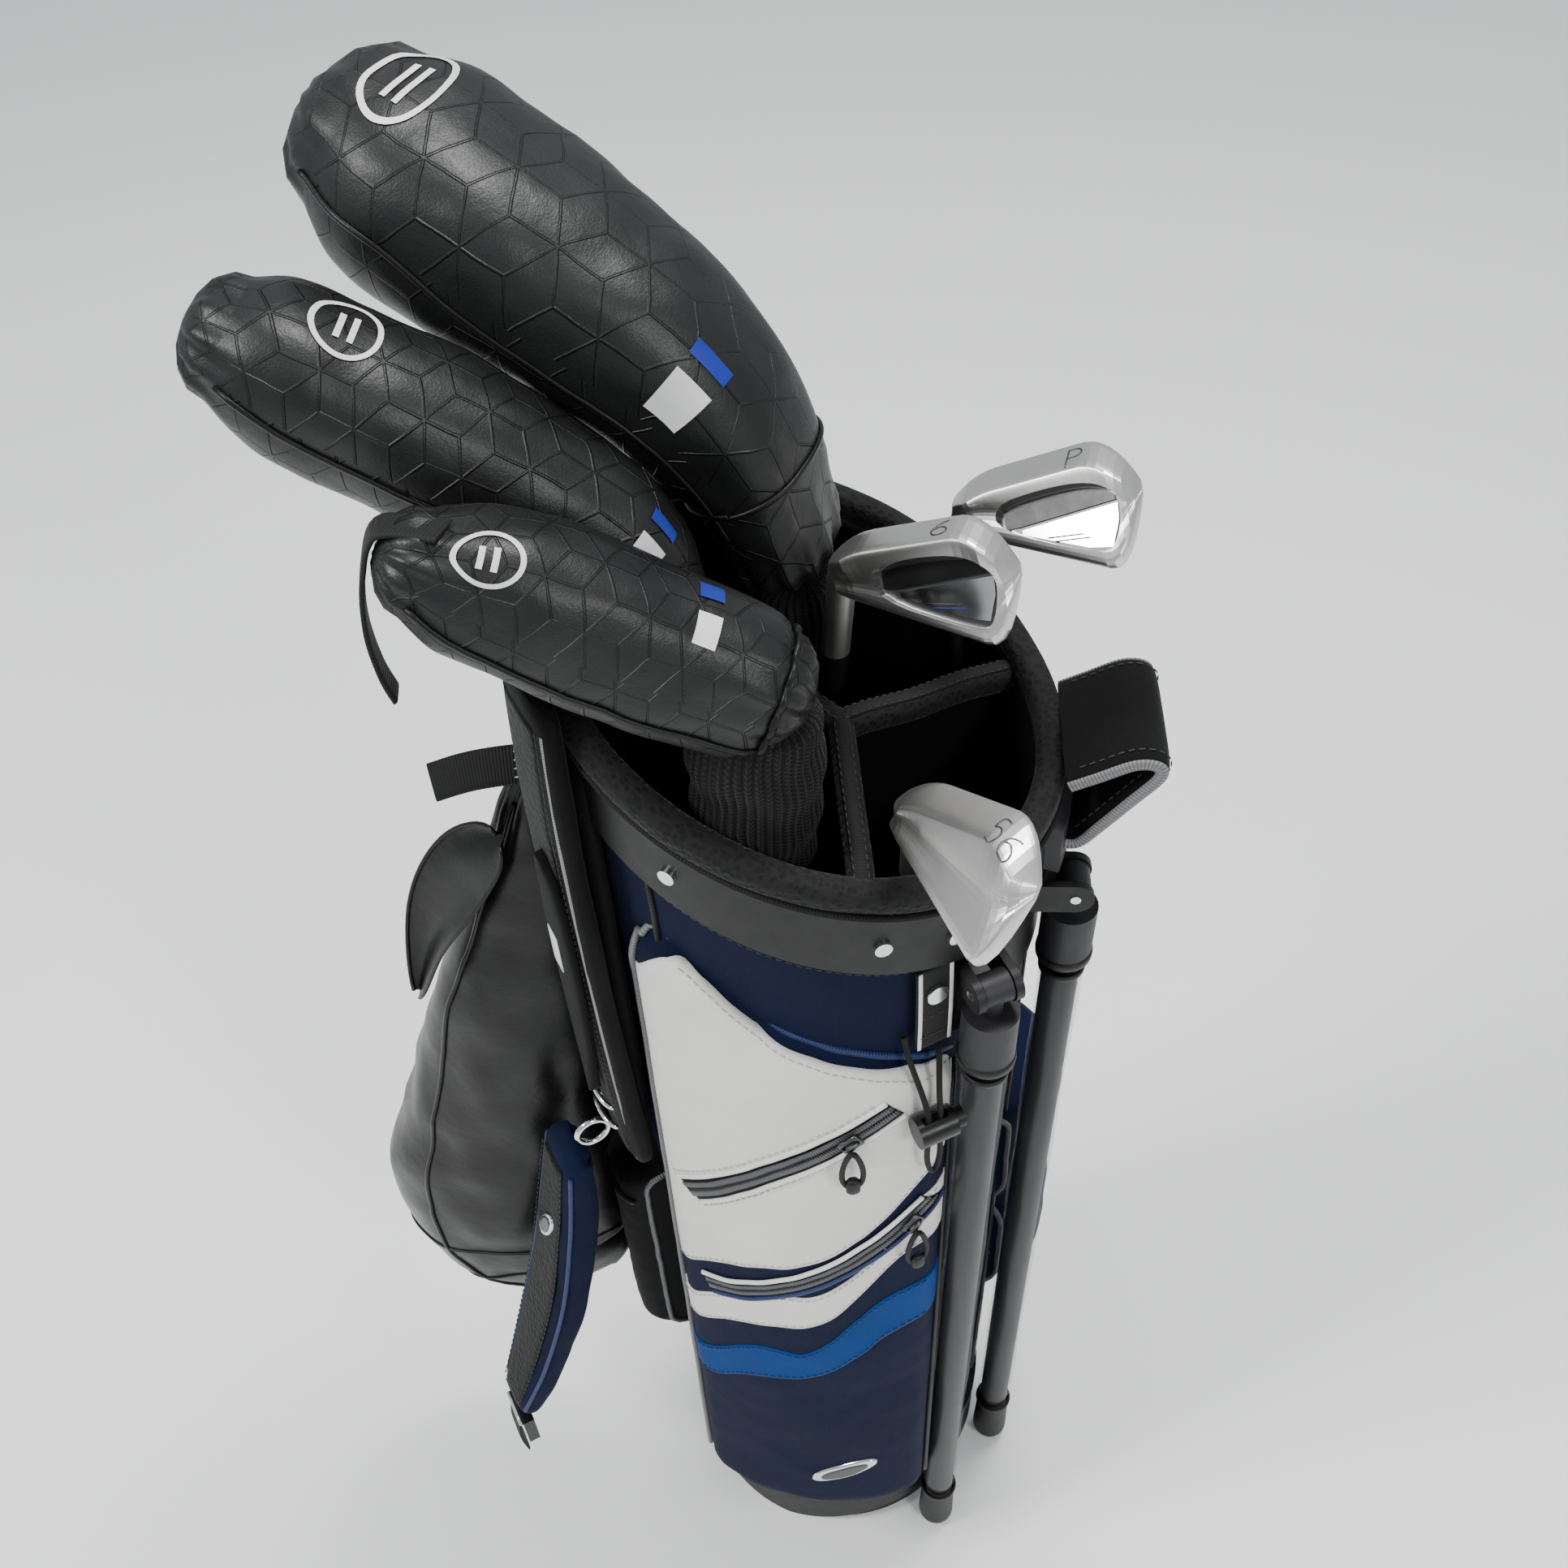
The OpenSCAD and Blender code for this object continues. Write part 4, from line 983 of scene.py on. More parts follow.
def oval_badge(name, surface, a, b, long, wide, tilt):
    """A plain chrome leaf-shaped badge with a dark middle."""
    c, s = math.cos(math.radians(tilt)), math.sin(math.radians(tilt))
    for label, look, scale, lift in (("rim", CHROME, 1.0, 1.5), ("face", DARK_STEEL, 0.72, 2.1)):
        u = np.linspace(-1, 1, 25)[None, :]
        v = np.linspace(-1, 1, 9)[:, None]
        x = long * scale * u
        y = wide * scale * v * np.sqrt(np.maximum(1 - u * u, 0.0))
        patch(f"{name}_{label}", surface, a + x * c - y * s, b + x * s + y * c, lift, look, *ON_CLOTH)


def slider(name, y, line):
    """A zip slider with a moulded loop pull, on its own body. line is its zip's height, slope and tilt."""
    zc = zip_line(y, *line)
    t = unit([1, zip_line(y + 1, *line) - zc])
    base = pocket_front(y, zc, 4.4)
    out = unit(pocket_front(y, zc, 6.4) - base)
    ahead = unit(pocket_front(y + t[0], zc + t[1], 4.4) - base)
    down = np.cross(ahead, out)
    down = -down if down[2] > 0 else down
    shell = sweep(name + "_body", [base + ahead * k for k in (-6, -5.5, -3, 0, 3, 5.5, 6)],
                  [2.5, 3.6, 4.0, 3.4, 4.2, 4.2, 3.2], [0.8, 1.2, 1.4, 1.5, 1.4, 1.1, 0.7], DARK_STEEL, name,
                  "slider_metal", side=down, n=12, power=3)
    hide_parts(name)
    arch = [base + ahead * k + out * h for k, h in ((-5, 1), (-3.6, 3), (0, 3.7), (3.4, 2.8), (4.6, 1))]
    sweep(name + "_bridge", arch, 1.3, 0.7, DARK_STEEL, name, "slider_metal", side=down, n=8)
    drop = unit(np.array([0, 0, -1.0]) + out * out[2])
    wide = np.cross(drop, out)
    loop = []
    for k in circle(28):
        c, s = math.cos(k), math.sin(k)
        middle = base + out * (4.9 + 1.2 * c) + drop * (15.5 - 15.5 * c)
        loop.append(middle + wide * 6.8 * s * (0.75 - 0.25 * c))
    sweep(name + "_pull", loop, 1.5, 1.5, CORD, name, "slider_metal", n=8, closed=True)
    sleeve = [base + out * 5.0 + drop * d for d in (23, 25, 29, 32, 34)]
    sweep(name + "_pull_sleeve", sleeve, [2.6, 3.6, 3.8, 3.6, 2.2], [1.8, 2.4, 2.5, 2.4, 1.4],
          BLACK_PLASTIC, name, "slider_metal", side=wide, n=12, power=2.6)


# ---------- side pockets ----------

def pod_surface(az, centre, radius, half, low, high, waist=0.0):
    """A side pocket's cloth: coordinates y across and z up, wrapping back to the body past its edges."""
    def surface(y, z, lift=0.0):
        y_in, z_in = min(max(y, -half), half), min(max(z, low), high)
        over = abs(y - y_in) + abs(z - z_in)
        pinch = waist * math.exp(-((z_in - (low + high) / 2) / 13) ** 2)
        x = centre + math.sqrt(radius**2 - y_in**2) - pinch
        soft_edge = 13.0
        for d in (half - abs(y_in), z_in - low, high - z_in):
            if d < soft_edge:
                x -= soft_edge - math.sqrt(max(soft_edge**2 - (soft_edge - d) ** 2, 0))
        inside = math.sqrt(max(cone_r(z_in) ** 2 - y_in**2, 0)) - 2
        x = max(x - over, inside)
        x += 0.9 * ripple((y_in, z_in, az), 26) + 0.4 * ripple((y_in, z_in, az), 9)
        edge = min(over / 8, 1.0)
        normal = unit([1 - edge * 0.8, y_in / radius + edge * np.sign(y - y_in), edge * np.sign(z - z_in)])
        bulge = 2.0 * math.sin(min(over, 40) / 40 * math.pi)
        squeeze = 1 - pinch / half * 0.6
        return turn(np.array([x, y_in * squeeze, z_in]) + normal * (lift + bulge), az)
    return surface


def pod(name, az, centre, radius, half, low, high, look, slot, waist=0.0):
    """A side pocket, wrapping back by deep past its edges, with pipings, an arched zip and stitches."""
    surface = pod_surface(az, centre, radius, half, low, high, waist)
    deep = 44
    ys = list(np.linspace(-half - deep, -half, 9)) + list(np.linspace(-half + 1.5, half - 1.5, 31))
    ys += list(np.linspace(half, half + deep, 9))
    zs = list(np.linspace(low - deep, low, 9)) + list(np.linspace(low + 1.5, high - 1.5, 50))
    zs += list(np.linspace(high, high + deep, 9))
    rows = [[surface(y, z) for y in ys] for z in zs]
    piece = grid(name + "_cloth", rows, look, "bag", slot)
    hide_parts(name)
    for k, side in enumerate((-1, 1)):
        trim(f"{name}_piping_{k + 1}", surface, [(side * half, z) for z in np.linspace(low, high, 24)], 1.0,
             1.7, 1.7, GREY_PIPE, "bag", slot, smooth=2)
    arch = [(y, high - 26 + 10 * math.cos(y / half * 1.4)) for y in np.linspace(-half + 2, half - 2, 20)]
    trim(name + "_zip", surface, arch, 0.9, 3.6, 0.6, BLACK, *ON_ZIP, power=4, smooth=2)
    trim(name + "_zip_coil", surface, arch, 1.7, 1.2, 0.6, GLOSS_PLASTIC, *ON_ZIP, smooth=2)
    seam(name + "_stitches", surface, raised(arch, -6), 0.5, GREY_THREAD, "bag", slot)


# ---------- soft lofted parts ----------

def loft_rows(rows, k=8, close=0.7):
    """Dense centre line, widths and heights through rows, with rounded ends added."""
    q = spline(rows, k)
    q[:, 3:] = np.maximum(q[:, 3:], 0.3)
    out = []
    for end, row, step in ((0, q[0], q[0] - q[1]), (1, q[-1], q[-1] - q[-2])):
        d = unit(step[:3]) * min(row[3], row[4]) * close
        angles = (1.45, 1.15, 0.8, 0.4)
        cap = [np.concatenate([row[:3] + d * math.sin(f), row[3:] * math.cos(f)]) for f in angles]
        out.append(cap if end == 0 else cap[::-1])
    return np.concatenate([out[0], q, out[1]])


def lofted(rows, side, n=64, power=2.2, k=8, close=0.7):
    """Rows of x, y, z, half width along side and half depth, as a dense centre line and rings round it."""
    q = loft_rows(rows, k, close)
    _, s, w = frames(q[:, :3], side)
    o = oval(n, power)
    across = s[:, None] * o[None, :, :1] * q[:, None, 3:4]
    return q, q[:, None, :3] + across + w[:, None] * o[None, :, 1:] * q[:, None, 4:5]


def dent(q, p, amounts, seed):
    """Pushes a loft in and out by smooth noise: amounts are (size, depth) in millimetres."""
    out = p.copy()
    for i in range(p.shape[0]):
        for j in range(p.shape[1]):
            d = p[i, j] - q[i, :3]
            size = np.linalg.norm(d)
            shift = sum(depth * ripple(p[i, j], length, seed) for length, depth in amounts)
            out[i, j] = p[i, j] + d / max(size, 1e-6) * shift * min(size / 12, 1)
    return out


def gather(q, p, at, reach, folds, depth):
    """Radial pleats that fade away from a place along the loft, both in millimetres."""
    run = run_along(q[:, :3])
    at = run[-1] + at if at < 0 else at
    fade = np.exp(-((run - at) / reach) ** 2)[:, None, None]
    angle = np.arange(p.shape[1]) * 2 * math.pi / p.shape[1]
    wave = np.cos(angle * folds + 1.1 * np.sin(angle * 2) + 0.6 * np.sin(angle * 3 + 1))[None, :, None]
    d = p - q[:, None, :3]
    size = np.linalg.norm(d, axis=2, keepdims=True)
    return p + d / np.maximum(size, 1e-6) * wave * fade * depth * np.minimum(size / 15, 1)


def headcover(name, rows, az, look, pleats, seed, power=2.35):
    """A padded leather cover, gathered at both ends. Its body is named like it."""
    q, p = lofted(rows, side_of(az), 96, power, 9, 0.75)
    p = dent(q, p, ((60, 3.4), (26, 1.5), (11, 0.45)), seed)
    p = gather(q, p, 0, 26, pleats, 1.8)
    p = gather(q, p, -0.01, 20, 11, 1.2)
    piece = grid(f"{name}_cover_leather", p, look, f"{name}_headcover", COVER_SLOT, wrap=True, caps=True,
                 flip=True)
    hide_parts(f"{name}_cover")
    return Skin(p)


def welt(name, skin, points, body, half=1.4, lift=0.6):
    """A leather welt on a cover along (millimetres, turn) points."""
    trim(name, skin, points, lift, half, half * 0.8, GUSSET, body, COVER_SLOT, smooth=10)


def knitted(name, node, rows, side, body, slot, ribs=40, folds=0.9):
    """A ribbed knit tube with soft gathered folds."""
    q, p = lofted(rows, side, 240, 2.0, 9, 0.25)
    angle = np.arange(p.shape[1]) * 2 * math.pi / p.shape[1]
    d = p - q[:, None, :3]
    size = np.maximum(np.linalg.norm(d, axis=2, keepdims=True), 1e-6)
    run = run_along(q[:, :3])
    rib = 0.75 * np.cos(angle * ribs)[None, :]
    phase = run[:, None] / 4.6 + 1.3 * np.sin(angle * 2)[None, :] + 0.7 * np.sin(angle * 5)[None, :]
    fold = folds * np.sin(phase)
    p = p + d / size * ((rib + fold) * np.minimum(size[..., 0] / 14, 1))[..., None]
    piece = grid(name, p, KNIT, body, slot, wrap=True, caps=True, flip=True)
    if node:
        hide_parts(node)


# Rows of x, y, z, half width and half depth along each cover.
DRIVER_ROWS = [(-20, 28, 782, 33, 23), (-25, 25, 800, 34, 25), (-36, 20, 834, 37, 31), (-58, 14, 867, 41, 36),
               (-96, 9, 895, 46, 40), (-136, 6, 919, 51, 42), (-168, 4, 938, 50, 39), (-186, 3, 950, 40, 32)]
FAIRWAY_ROWS = [(-46, -41, 762, 24, 24), (-50, -43, 785, 26, 26), (-60, -48, 816, 29, 29),
                (-84, -58, 843, 31, 31), (-118, -73, 868, 35, 34), (-150, -87, 891, 35, 33),
                (-170, -96, 907, 32, 29), (-182, -101, 915, 25, 22)]
HYBRID_ROWS = [(21, -74, 786, 23, 24), (14, -77, 790, 27.5, 28.5), (-6, -85, 802, 30, 31),
               (-32, -98, 819, 30, 31), (-60, -114, 839, 28.5, 30), (-78, -126, 852, 26.5, 27),
               (-89, -134, 861, 21, 20)]
SOCK_ROWS = [(10, -73, 692, 24, 24), (10, -73, 715, 27, 27), (12, -74, 740, 28, 28), (13, -75, 762, 28, 28),
             (14, -74, 774, 26, 26)]
DRIVER_AZ = -82
FAIRWAY_AZ = -67
HYBRID_AZ = -53


def headcovers():
    """The three covers, each with its welts and prints."""
    driver = headcover("driver", DRIVER_ROWS, DRIVER_AZ, DRIVER_LEATHER, 14, 1.0, 2.5)
    fairway = headcover("fairway", FAIRWAY_ROWS, FAIRWAY_AZ, SMALL_LEATHER, 13, 4.0)
    hybrid = headcover("hybrid", HYBRID_ROWS, HYBRID_AZ, SMALL_LEATHER, 12, 7.0, 2.6)
    knitted("hybrid_sock_knit", "hybrid_sock", SOCK_ROWS, side_of(HYBRID_AZ), "hybrid_headcover",
            "sock_knit", 44)
    driver_details(driver)
    fairway_details(fairway)
    hybrid_details(hybrid)


# ---------- straps, pouches and flaps on the left ----------

# Rows of height, radius and half depth for the black strap.
STRAP_ROWS = [(776, 125, 3), (768, 126, 6.5), (700, 128, 7), (600, 127, 7), (500, 124, 7), (452, 121, 6.5),
              (444, 120, 3)]
# Rows of x, y, z, half depth and half width for the navy strap.
NAVY_STRAP_ROWS = [(-98, -112, 446, 5, 12), (-102, -117, 438, 10, 20), (-106, -124, 390, 12, 25),
                   (-113, -138, 330, 12, 27), (-125, -157, 268, 11, 24), (-136, -174, 226, 8, 18),
                   (-137, -176, 220, 3, 10)]
# Rows of height, half depth and half width for the pouch.
POUCH_ROWS = [(672, 5, 5), (664, 12, 11), (610, 24, 19), (520, 43, 30), (420, 62, 40), (330, 76, 45),
              (270, 75, 43), (240, 56, 32), (226, 24, 14)]
STRAP_AZ = -128
POUCH_AZ = -156


def ribbon(name, path, half, thick, look, power, n, side):
    """A flat band of webbing or cloth on the straps."""
    return sweep(name, path, half, thick, look, *ON_WEBBING, side=side, n=n, power=power)


def black_strap():
    """The padded black strap with pipings, a mesh face, a backing and a sewn-on patch."""
    rows = [(*polar(r, STRAP_AZ, z), w, 4 * w) for z, r, w in STRAP_ROWS]
    q, p = lofted(rows, side_of(STRAP_AZ), 40, 3.0, 10, 0.2)
    p = dent(q, p, ((40, 1.2), (15, 0.6)), 3.0)
    piece = grid("strap_black_cloth", p, BLACK, *ON_WEBBING, wrap=True, caps=True, flip=True)
    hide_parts("strap_black")
    out, wide = np.array(side_of(STRAP_AZ)), np.array(side_of(STRAP_AZ + 90))
    for k, s in enumerate((-1, 1)):
        edge = [polar(r + w * 0.66, STRAP_AZ, z) + wide * s * w * 3.45 for z, r, w in STRAP_ROWS[1:-1]]
        path = spline(edge, 12)
        sweep(f"strap_piping_{k + 1}", path, 0.9, 0.9, PALE_PIPE, *ON_WEBBING, n=8)
        stitches(f"strap_stitches_{k + 1}", path - wide * s * 4 + out * 1.6, wide, GREY_THREAD, *ON_WEBBING)
    face = spline([polar(r + w - 0.6, STRAP_AZ, z) for z, r, w in STRAP_ROWS[1:-1]], 12)
    ribbon("strap_mesh_face", face, 17, 1.5, AIR_MESH, 3, 16, wide)
    back = [polar(115.5, STRAP_AZ, z) for z in np.linspace(474, 742, 20)]
    ribbon("strap_backing", back, 20, 4.2, BLACK, 4, 14, wide)
    outline = [(688, 3), (672, 12), (620, 15.5), (570, 12), (530, 6), (508, 2)]
    mid = spline([(*polar(139 + (z - 500) * 0.002, STRAP_AZ + 3, z), w) for z, w in outline], 8)
    ribbon("strap_patch", mid[:, :3] - out * 2.2, mid[:, 3], 3.4, BLACK, 2.6, 24, wide)
    mark = [polar(140.6, STRAP_AZ + 3, z) for z in np.linspace(612, 636, 6)]
    ribbon("strap_mark", mark, 6.0, 0.5, MARK_WHITE, 5, 8, wide + [0, 0, 0.8])
    for k, z in enumerate((492, 474)):
        hook = []
        for f in circle(28):
            centre = polar(131 + 4.2 * math.cos(f), STRAP_AZ, z)
            hook.append(centre + wide * 13 * math.sin(f) + [0, 0, 3.0 * math.cos(f)])
        sweep(f"strap_hook_{k + 1}", hook, 1.5, 1.5, CHROME, *ON_WEBBING, n=8, closed=True)


def navy_strap():
    """The navy strap with its mesh face, badge, ladder lock and loose tail."""
    q, p = lofted(NAVY_STRAP_ROWS, side_of(STRAP_AZ), 44, 2.8, 12, 0.3)
    p = dent(q, p, ((46, 2.2), (17, 0.9)), 9.0)
    piece = grid("strap_navy_cloth", p, NAVY, *ON_CLOTH, wrap=True, caps=True, flip=True)
    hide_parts("strap_navy")
    out, wide = np.array(side_of(STRAP_AZ)), np.array(side_of(STRAP_AZ + 90))
    mid = spline(NAVY_STRAP_ROWS[1:-1], 10)
    t, s, w = frames(mid[:, :3], out)
    face = mid[:, :3] + s * (mid[:, 3:4] - 0.4)
    ribbon("strap_navy_mesh", face, mid[:, 4] * 0.62, 1.6, AIR_MESH, 3, 16, w)
    for k, sign in enumerate((-1, 1)):
        path = mid[:, :3] + s * mid[:, 3:4] * 0.66 + w * mid[:, 4:5] * 0.9 * sign
        sweep(f"strap_navy_piping_{k + 1}", path, 1.3, 1.3, BLUE_PIPE, *ON_CLOTH, n=8)
        inner = mid[:, :3] + s * (mid[:, 3:4] + 0.8) + w * mid[:, 4:5] * 0.68 * sign
        stitches(f"strap_navy_stitches_{k + 1}", inner, w, GREY_THREAD, *ON_CLOTH)
    middle = len(mid) // 2 - 8
    centre, up, across, ahead = face[middle] + s[middle] * 1.2, s[middle], w[middle], t[middle]

    def plane(a, b, lift=0.0):
        return centre + across * a + ahead * b + up * lift

    oval_badge("strap_badge", plane, 0, 0, 15, 6.5, 60)
    bar = [(-139, -178, 206) + out * 4.6 + wide * k for k in (-12, -6, 0, 6, 12)]
    sweep("strap_ladder_lock", bar, 1.6, 1.6, STEEL, *ON_WEBBING, n=10)
    tail = spline([(-134, -172, 222), (-141, -180, 206), (-143, -184, 186), (-141, -183, 165)], 8)
    ribbon("strap_tail", tail, 9.0, 0.9, WEB, 5, 10, wide)


def hood_pouch():
    """The rain hood hanging in its gathered pouch."""
    rows = [(*polar(121 + a, POUCH_AZ, z), a, b) for z, a, b in POUCH_ROWS]
    q, p = lofted(rows, side_of(POUCH_AZ), 80, 2.2, 10, 0.6)
    p = dent(q, p, ((75, 5.0), (32, 2.6), (14, 0.8)), 6.0)
    p = gather(q, p, 0, 60, 9, 2.2)
    piece = grid("hood_pouch_cloth", p, GLOSS_POUCH, *ON_POUCH, wrap=True, caps=True, flip=True)
    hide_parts("hood_pouch")
    skin = Skin(p)
    for k, part in enumerate((0.10, 0.86)):
        line = [(skin.long * f, part + 0.02 * math.sin(5 * f)) for f in np.linspace(0.05, 0.95, 12)]
        trim(f"hood_pouch_seam_{k + 1}", skin, line, 0.4, 1.5, 1.2, GLOSS_POUCH, *ON_POUCH)
    for k, f in enumerate((0.8, 0.86)):
        hoop = [(skin.long * (f + 0.006 * math.sin(9 * u)), u) for u in np.linspace(0.55, 1.35, 50)]
        trim(f"hood_pouch_hem_{k + 1}", skin, hoop, 0.3, 1.2, 0.9, GLOSS_POUCH, *ON_POUCH, smooth=2)


def leaf_flap():
    """The drawn-in rain hood's edge hanging as a leaf beside the pouch."""
    line = spline([(-126, -82, 648), (-150, -88, 622), (-172, -97, 580), (-186, -108, 528)], 8)
    _, s, w = frames(line, (0.70, -0.35, -0.35))
    share = np.linspace(0, 1, len(line))
    width = 3 + 17 * np.sin(np.pi * share**0.8) ** 0.9
    rows = []
    for c, a, n, k, f in zip(line, s, w, width, share):
        across = np.linspace(-1, 1, 13)
        rows.append([c + a * k * u + n * (3.5 * u * u + 1.5 * math.sin(3 * u + 7 * f)) for u in across])
    flap = grid("leaf_flap", rows, GLOSS_POUCH, *ON_POUCH)
    for k, end in enumerate((0, -1)):
        sweep(f"leaf_flap_hem_{k + 1}", [row[end] for row in rows], 1.2, 1.2, GLOSS_POUCH, *ON_POUCH, n=8)


TAB_SIDE = (-0.33, 0.62, 0.71)


def glove_tab():
    """A short webbing tab with rows of stitches on both faces."""
    tab = spline([(-104, -62, 690), (-122, -72, 690), (-140, -80, 686), (-156, -88, 680)], 8)
    ribbon("glove_tab", tab, 9.5, 1.0, WEB, 5, 10, TAB_SIDE)
    _, s, w = (part[2:9] for part in frames(tab, TAB_SIDE))
    for k, v in enumerate((-6, -2, 2, 6)):
        for label, face in (("stitches", 1.2), ("under", -1.2)):
            stitches(f"glove_tab_{label}_{k + 1}", tab[2:9] + s * v + w * face, s, WHITE_THREAD,
                     *ON_WEBBING, 3.2, 2.0, 0.4)


# ---------- handle, hanging loop and legs on the right ----------

HANDLE_AZ = 22
# The handle's middle line as radius and height.
HANDLE_LINE = [(119, 692), (131, 698), (147, 706), (157, 705), (158, 698), (147, 683), (135, 667), (126, 656),
               (119, 655)]


def grab_handle():
    """The wide neoprene handle with piped and stitched edges."""
    wide = np.array(side_of(HANDLE_AZ + 90))
    line = spline([polar(r, HANDLE_AZ, z) for r, z in HANDLE_LINE], 10)
    piece = sweep("handle_neoprene", line, 34.5, 4.4, NEOPRENE, *ON_HANDLE, side=wide, n=28, power=5)
    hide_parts("grab_handle")
    _, s, w = frames(line, wide)
    for k, sign in enumerate((-1, 1)):
        edge = line + s * 34.4 * sign
        sweep(f"handle_piping_{k + 1}", edge, 0.9, 3.2, GREY_PIPE, *ON_HANDLE, side=s, n=10)
        for m, face in enumerate((-1, 1)):
            row = line + s * 29 * sign + w * 4.6 * face
            stitches(f"handle_stitches_{k + 1}_{m + 1}", row[6:-6], s[6:-6], GREY_THREAD, *ON_HANDLE)


def right_stripe():
    """The pale welt down the bag's right side."""
    line = spline([(24, 655), (23.5, 600), (22, 500), (19, 400), (16, 300), (13, 200), (11, 100)], 14)
    path = np.array([body_skin(a, z, 1.2) for a, z in line])
    level = path[:, [1, 0, 2]] * (-1, 1, 0)
    sweep("side_stripe", path, 6.5, 0.9, WHITE, *ON_WHITE, side=level, n=10, power=4)
    for k, d in enumerate((-4.2, 4.2)):
        edge = np.array([body_skin(a + d, z, 1.0) for a, z in line])
        sweep(f"side_stripe_welt_{k + 1}", edge, 1.5, 1.4, BLACK_PIPE, *ON_CLOTH, n=8)


def webbing_loop():
    """The webbing loop on the collar with two bright edges and bar tacks."""
    az = -37
    out, wide = np.array(side_of(az)), np.array(side_of(az + 90))
    line = np.array([polar(114.9, az, z) for z in np.linspace(587, 643, 24)])
    line += out * np.array([0.5 * math.sin(z / 7) for z in range(24)])[:, None]
    piece = sweep("loop_webbing", line, 9.6, 1.7, WEB, *ON_WEBBING, side=wide, n=12, power=5)
    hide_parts("webbing_loop")
    for k, sign in enumerate((-1, 1)):
        edge = line + wide * sign * 8.1 + out * 1.7
        sweep(f"loop_reflector_{k + 1}", edge, 1.1, 0.3, MARK_WHITE, *ON_WEBBING, side=wide, n=8, power=4)
    for k, z in enumerate((596, 610)):
        bar = [polar(117.0, az, z) + wide * v for v in (-8, -4, 0, 4, 8)]
        stitches(f"loop_stitches_{k + 1}", bar, (0, 0, 1), GREY_THREAD, *ON_WEBBING)


def leg_frame(sign, down, radius, angle):
    """A point down a leg from its pivot, at a radius and an angle round it. sign -1 is the front leg."""
    top = np.array([LEG_TOP[0], LEG_Y * sign, LEG_TOP[1]])
    low = np.array([LEG_LOW[0], LEG_Y * sign, LEG_LOW[1]])
    t = unit(low - top)
    across = np.array([0, 1.0, 0])
    other = np.cross(t, across)
    p = top + t * down + across * radius * math.cos(angle) + other * radius * math.sin(angle)
    return turn(p, LEG_AZ)


def legs():
    """The clear wrinkled film on each leg tube, and the legs' moulded bands."""
    for body, sign in (("leg_front", -1), ("leg_back", 1)):
        rows = []
        for d in np.linspace(62, 560, 90):
            ring = []
            for k in circle(28):
                wrinkle = 0.4 * noise.noise(Vector((d / 16, math.cos(k), sign)))
                r = LEG_R + 1.6 + 0.35 * math.sin(3 * k + d / 22) + wrinkle
                ring.append(leg_frame(sign, d, r, k))
            rows.append(ring)
        grid(f"{body}_sleeve", rows, CLEAR, body, "leg_grey", wrap=True, flip=True)
        axis = leg_frame(sign, 100, 0, 0) - leg_frame(sign, 0, 0, 0)
        for k, (d, half, r) in enumerate(((50, 3.0, 14.3), (62, 2.0, 11.9), (574, 2.0, 12.4))):
            hoop = [leg_frame(sign, d, r - 1.0, f) for f in circle(32)]
            sweep(f"{body}_band_{k + 1}", hoop, half, 1.0, BLACK_PLASTIC, body, "foot_rubber", side=axis,
                  n=8, power=3, closed=True)


# ---------- cover details ----------

def cover_seam(name, skin, points, body):
    """A welt through (share of the cover's length, turn) points."""
    welt(name, skin, [(skin.long * f, part) for f, part in points], body)


def driver_details(skin):
    """Welts and prints of the driver's cover."""
    body = "driver_headcover"
    edge = [(0.15, 0.97), (0.4, 0.975), (0.59, 0.98), (0.8, 1.0), (0.93, 0.98)]
    cover_seam("driver_cover_seam_1", skin, edge, body)
    cover_seam("driver_cover_seam_2", skin, [(0.2, 0.48), (0.45, 0.47), (0.7, 0.47), (0.9, 0.5)], body)
    neck = [(skin.long * 0.2 + 2 * math.sin(9 * u), u) for u in np.linspace(0, 1, 24)]
    welt("driver_cover_neck_seam", skin, neck, body)
    ring_mark("driver_mark", skin, skin.long * 0.88, 0.23, (15, 0.085, 2.4), 0.3, body)
    block_marks("driver_bars", skin, skin.long * 0.38, 0.09, (14, 0.04, 0.06), body)


def fairway_details(skin):
    """Welts and prints of the fairway wood's cover."""
    body = "fairway_headcover"
    cover_seam("fairway_cover_seam_1", skin, [(0.12, 0.99), (0.5, 0.985), (0.92, 0.99)], body)
    cover_seam("fairway_cover_seam_2", skin, [(0.12, 0.48), (0.5, 0.47), (0.92, 0.48)], body)
    ring_mark("fairway_mark", skin, skin.long * 0.80, 0.23, (14.5, 0.07, 2.2), 0.2, body)
    block_marks("fairway_bars", skin, skin.long * 0.30, 0.14, (10, 0.038, 0.058), body)


def hybrid_details(skin):
    """Welts, prints and pull tab of the hybrid's cover."""
    body = "hybrid_headcover"
    cover_seam("hybrid_cover_seam_1", skin, [(0.1, 0.93), (0.5, 0.94), (0.92, 0.94)], body)
    edge = [(17 + 1.2 * math.sin(12 * u), u) for u in np.linspace(0, 1, 24)]
    welt("hybrid_cover_edge", skin, edge, body, 1.9, 0.9)
    ring_mark("hybrid_mark", skin, skin.long * 0.81, 0.15, (13.5, 0.075, 2.1), 0.2, body)
    block_marks("hybrid_bars", skin, skin.long * 0.32, 0.19, (10, 0.038, 0.06), body)
    tab = spline([skin(skin.long * 0.9, 0.22, 1), (-101, -135, 874), (-107, -142, 858), (-107, -148, 838),
                  (-103, -151, 820), (-99, -151, 808)], 8)
    sweep("hybrid_pull_tab", tab, 8.0, 1.1, WEB, body, COVER_SLOT, side=(0.55, -0.75, 0.1), n=10, power=5)


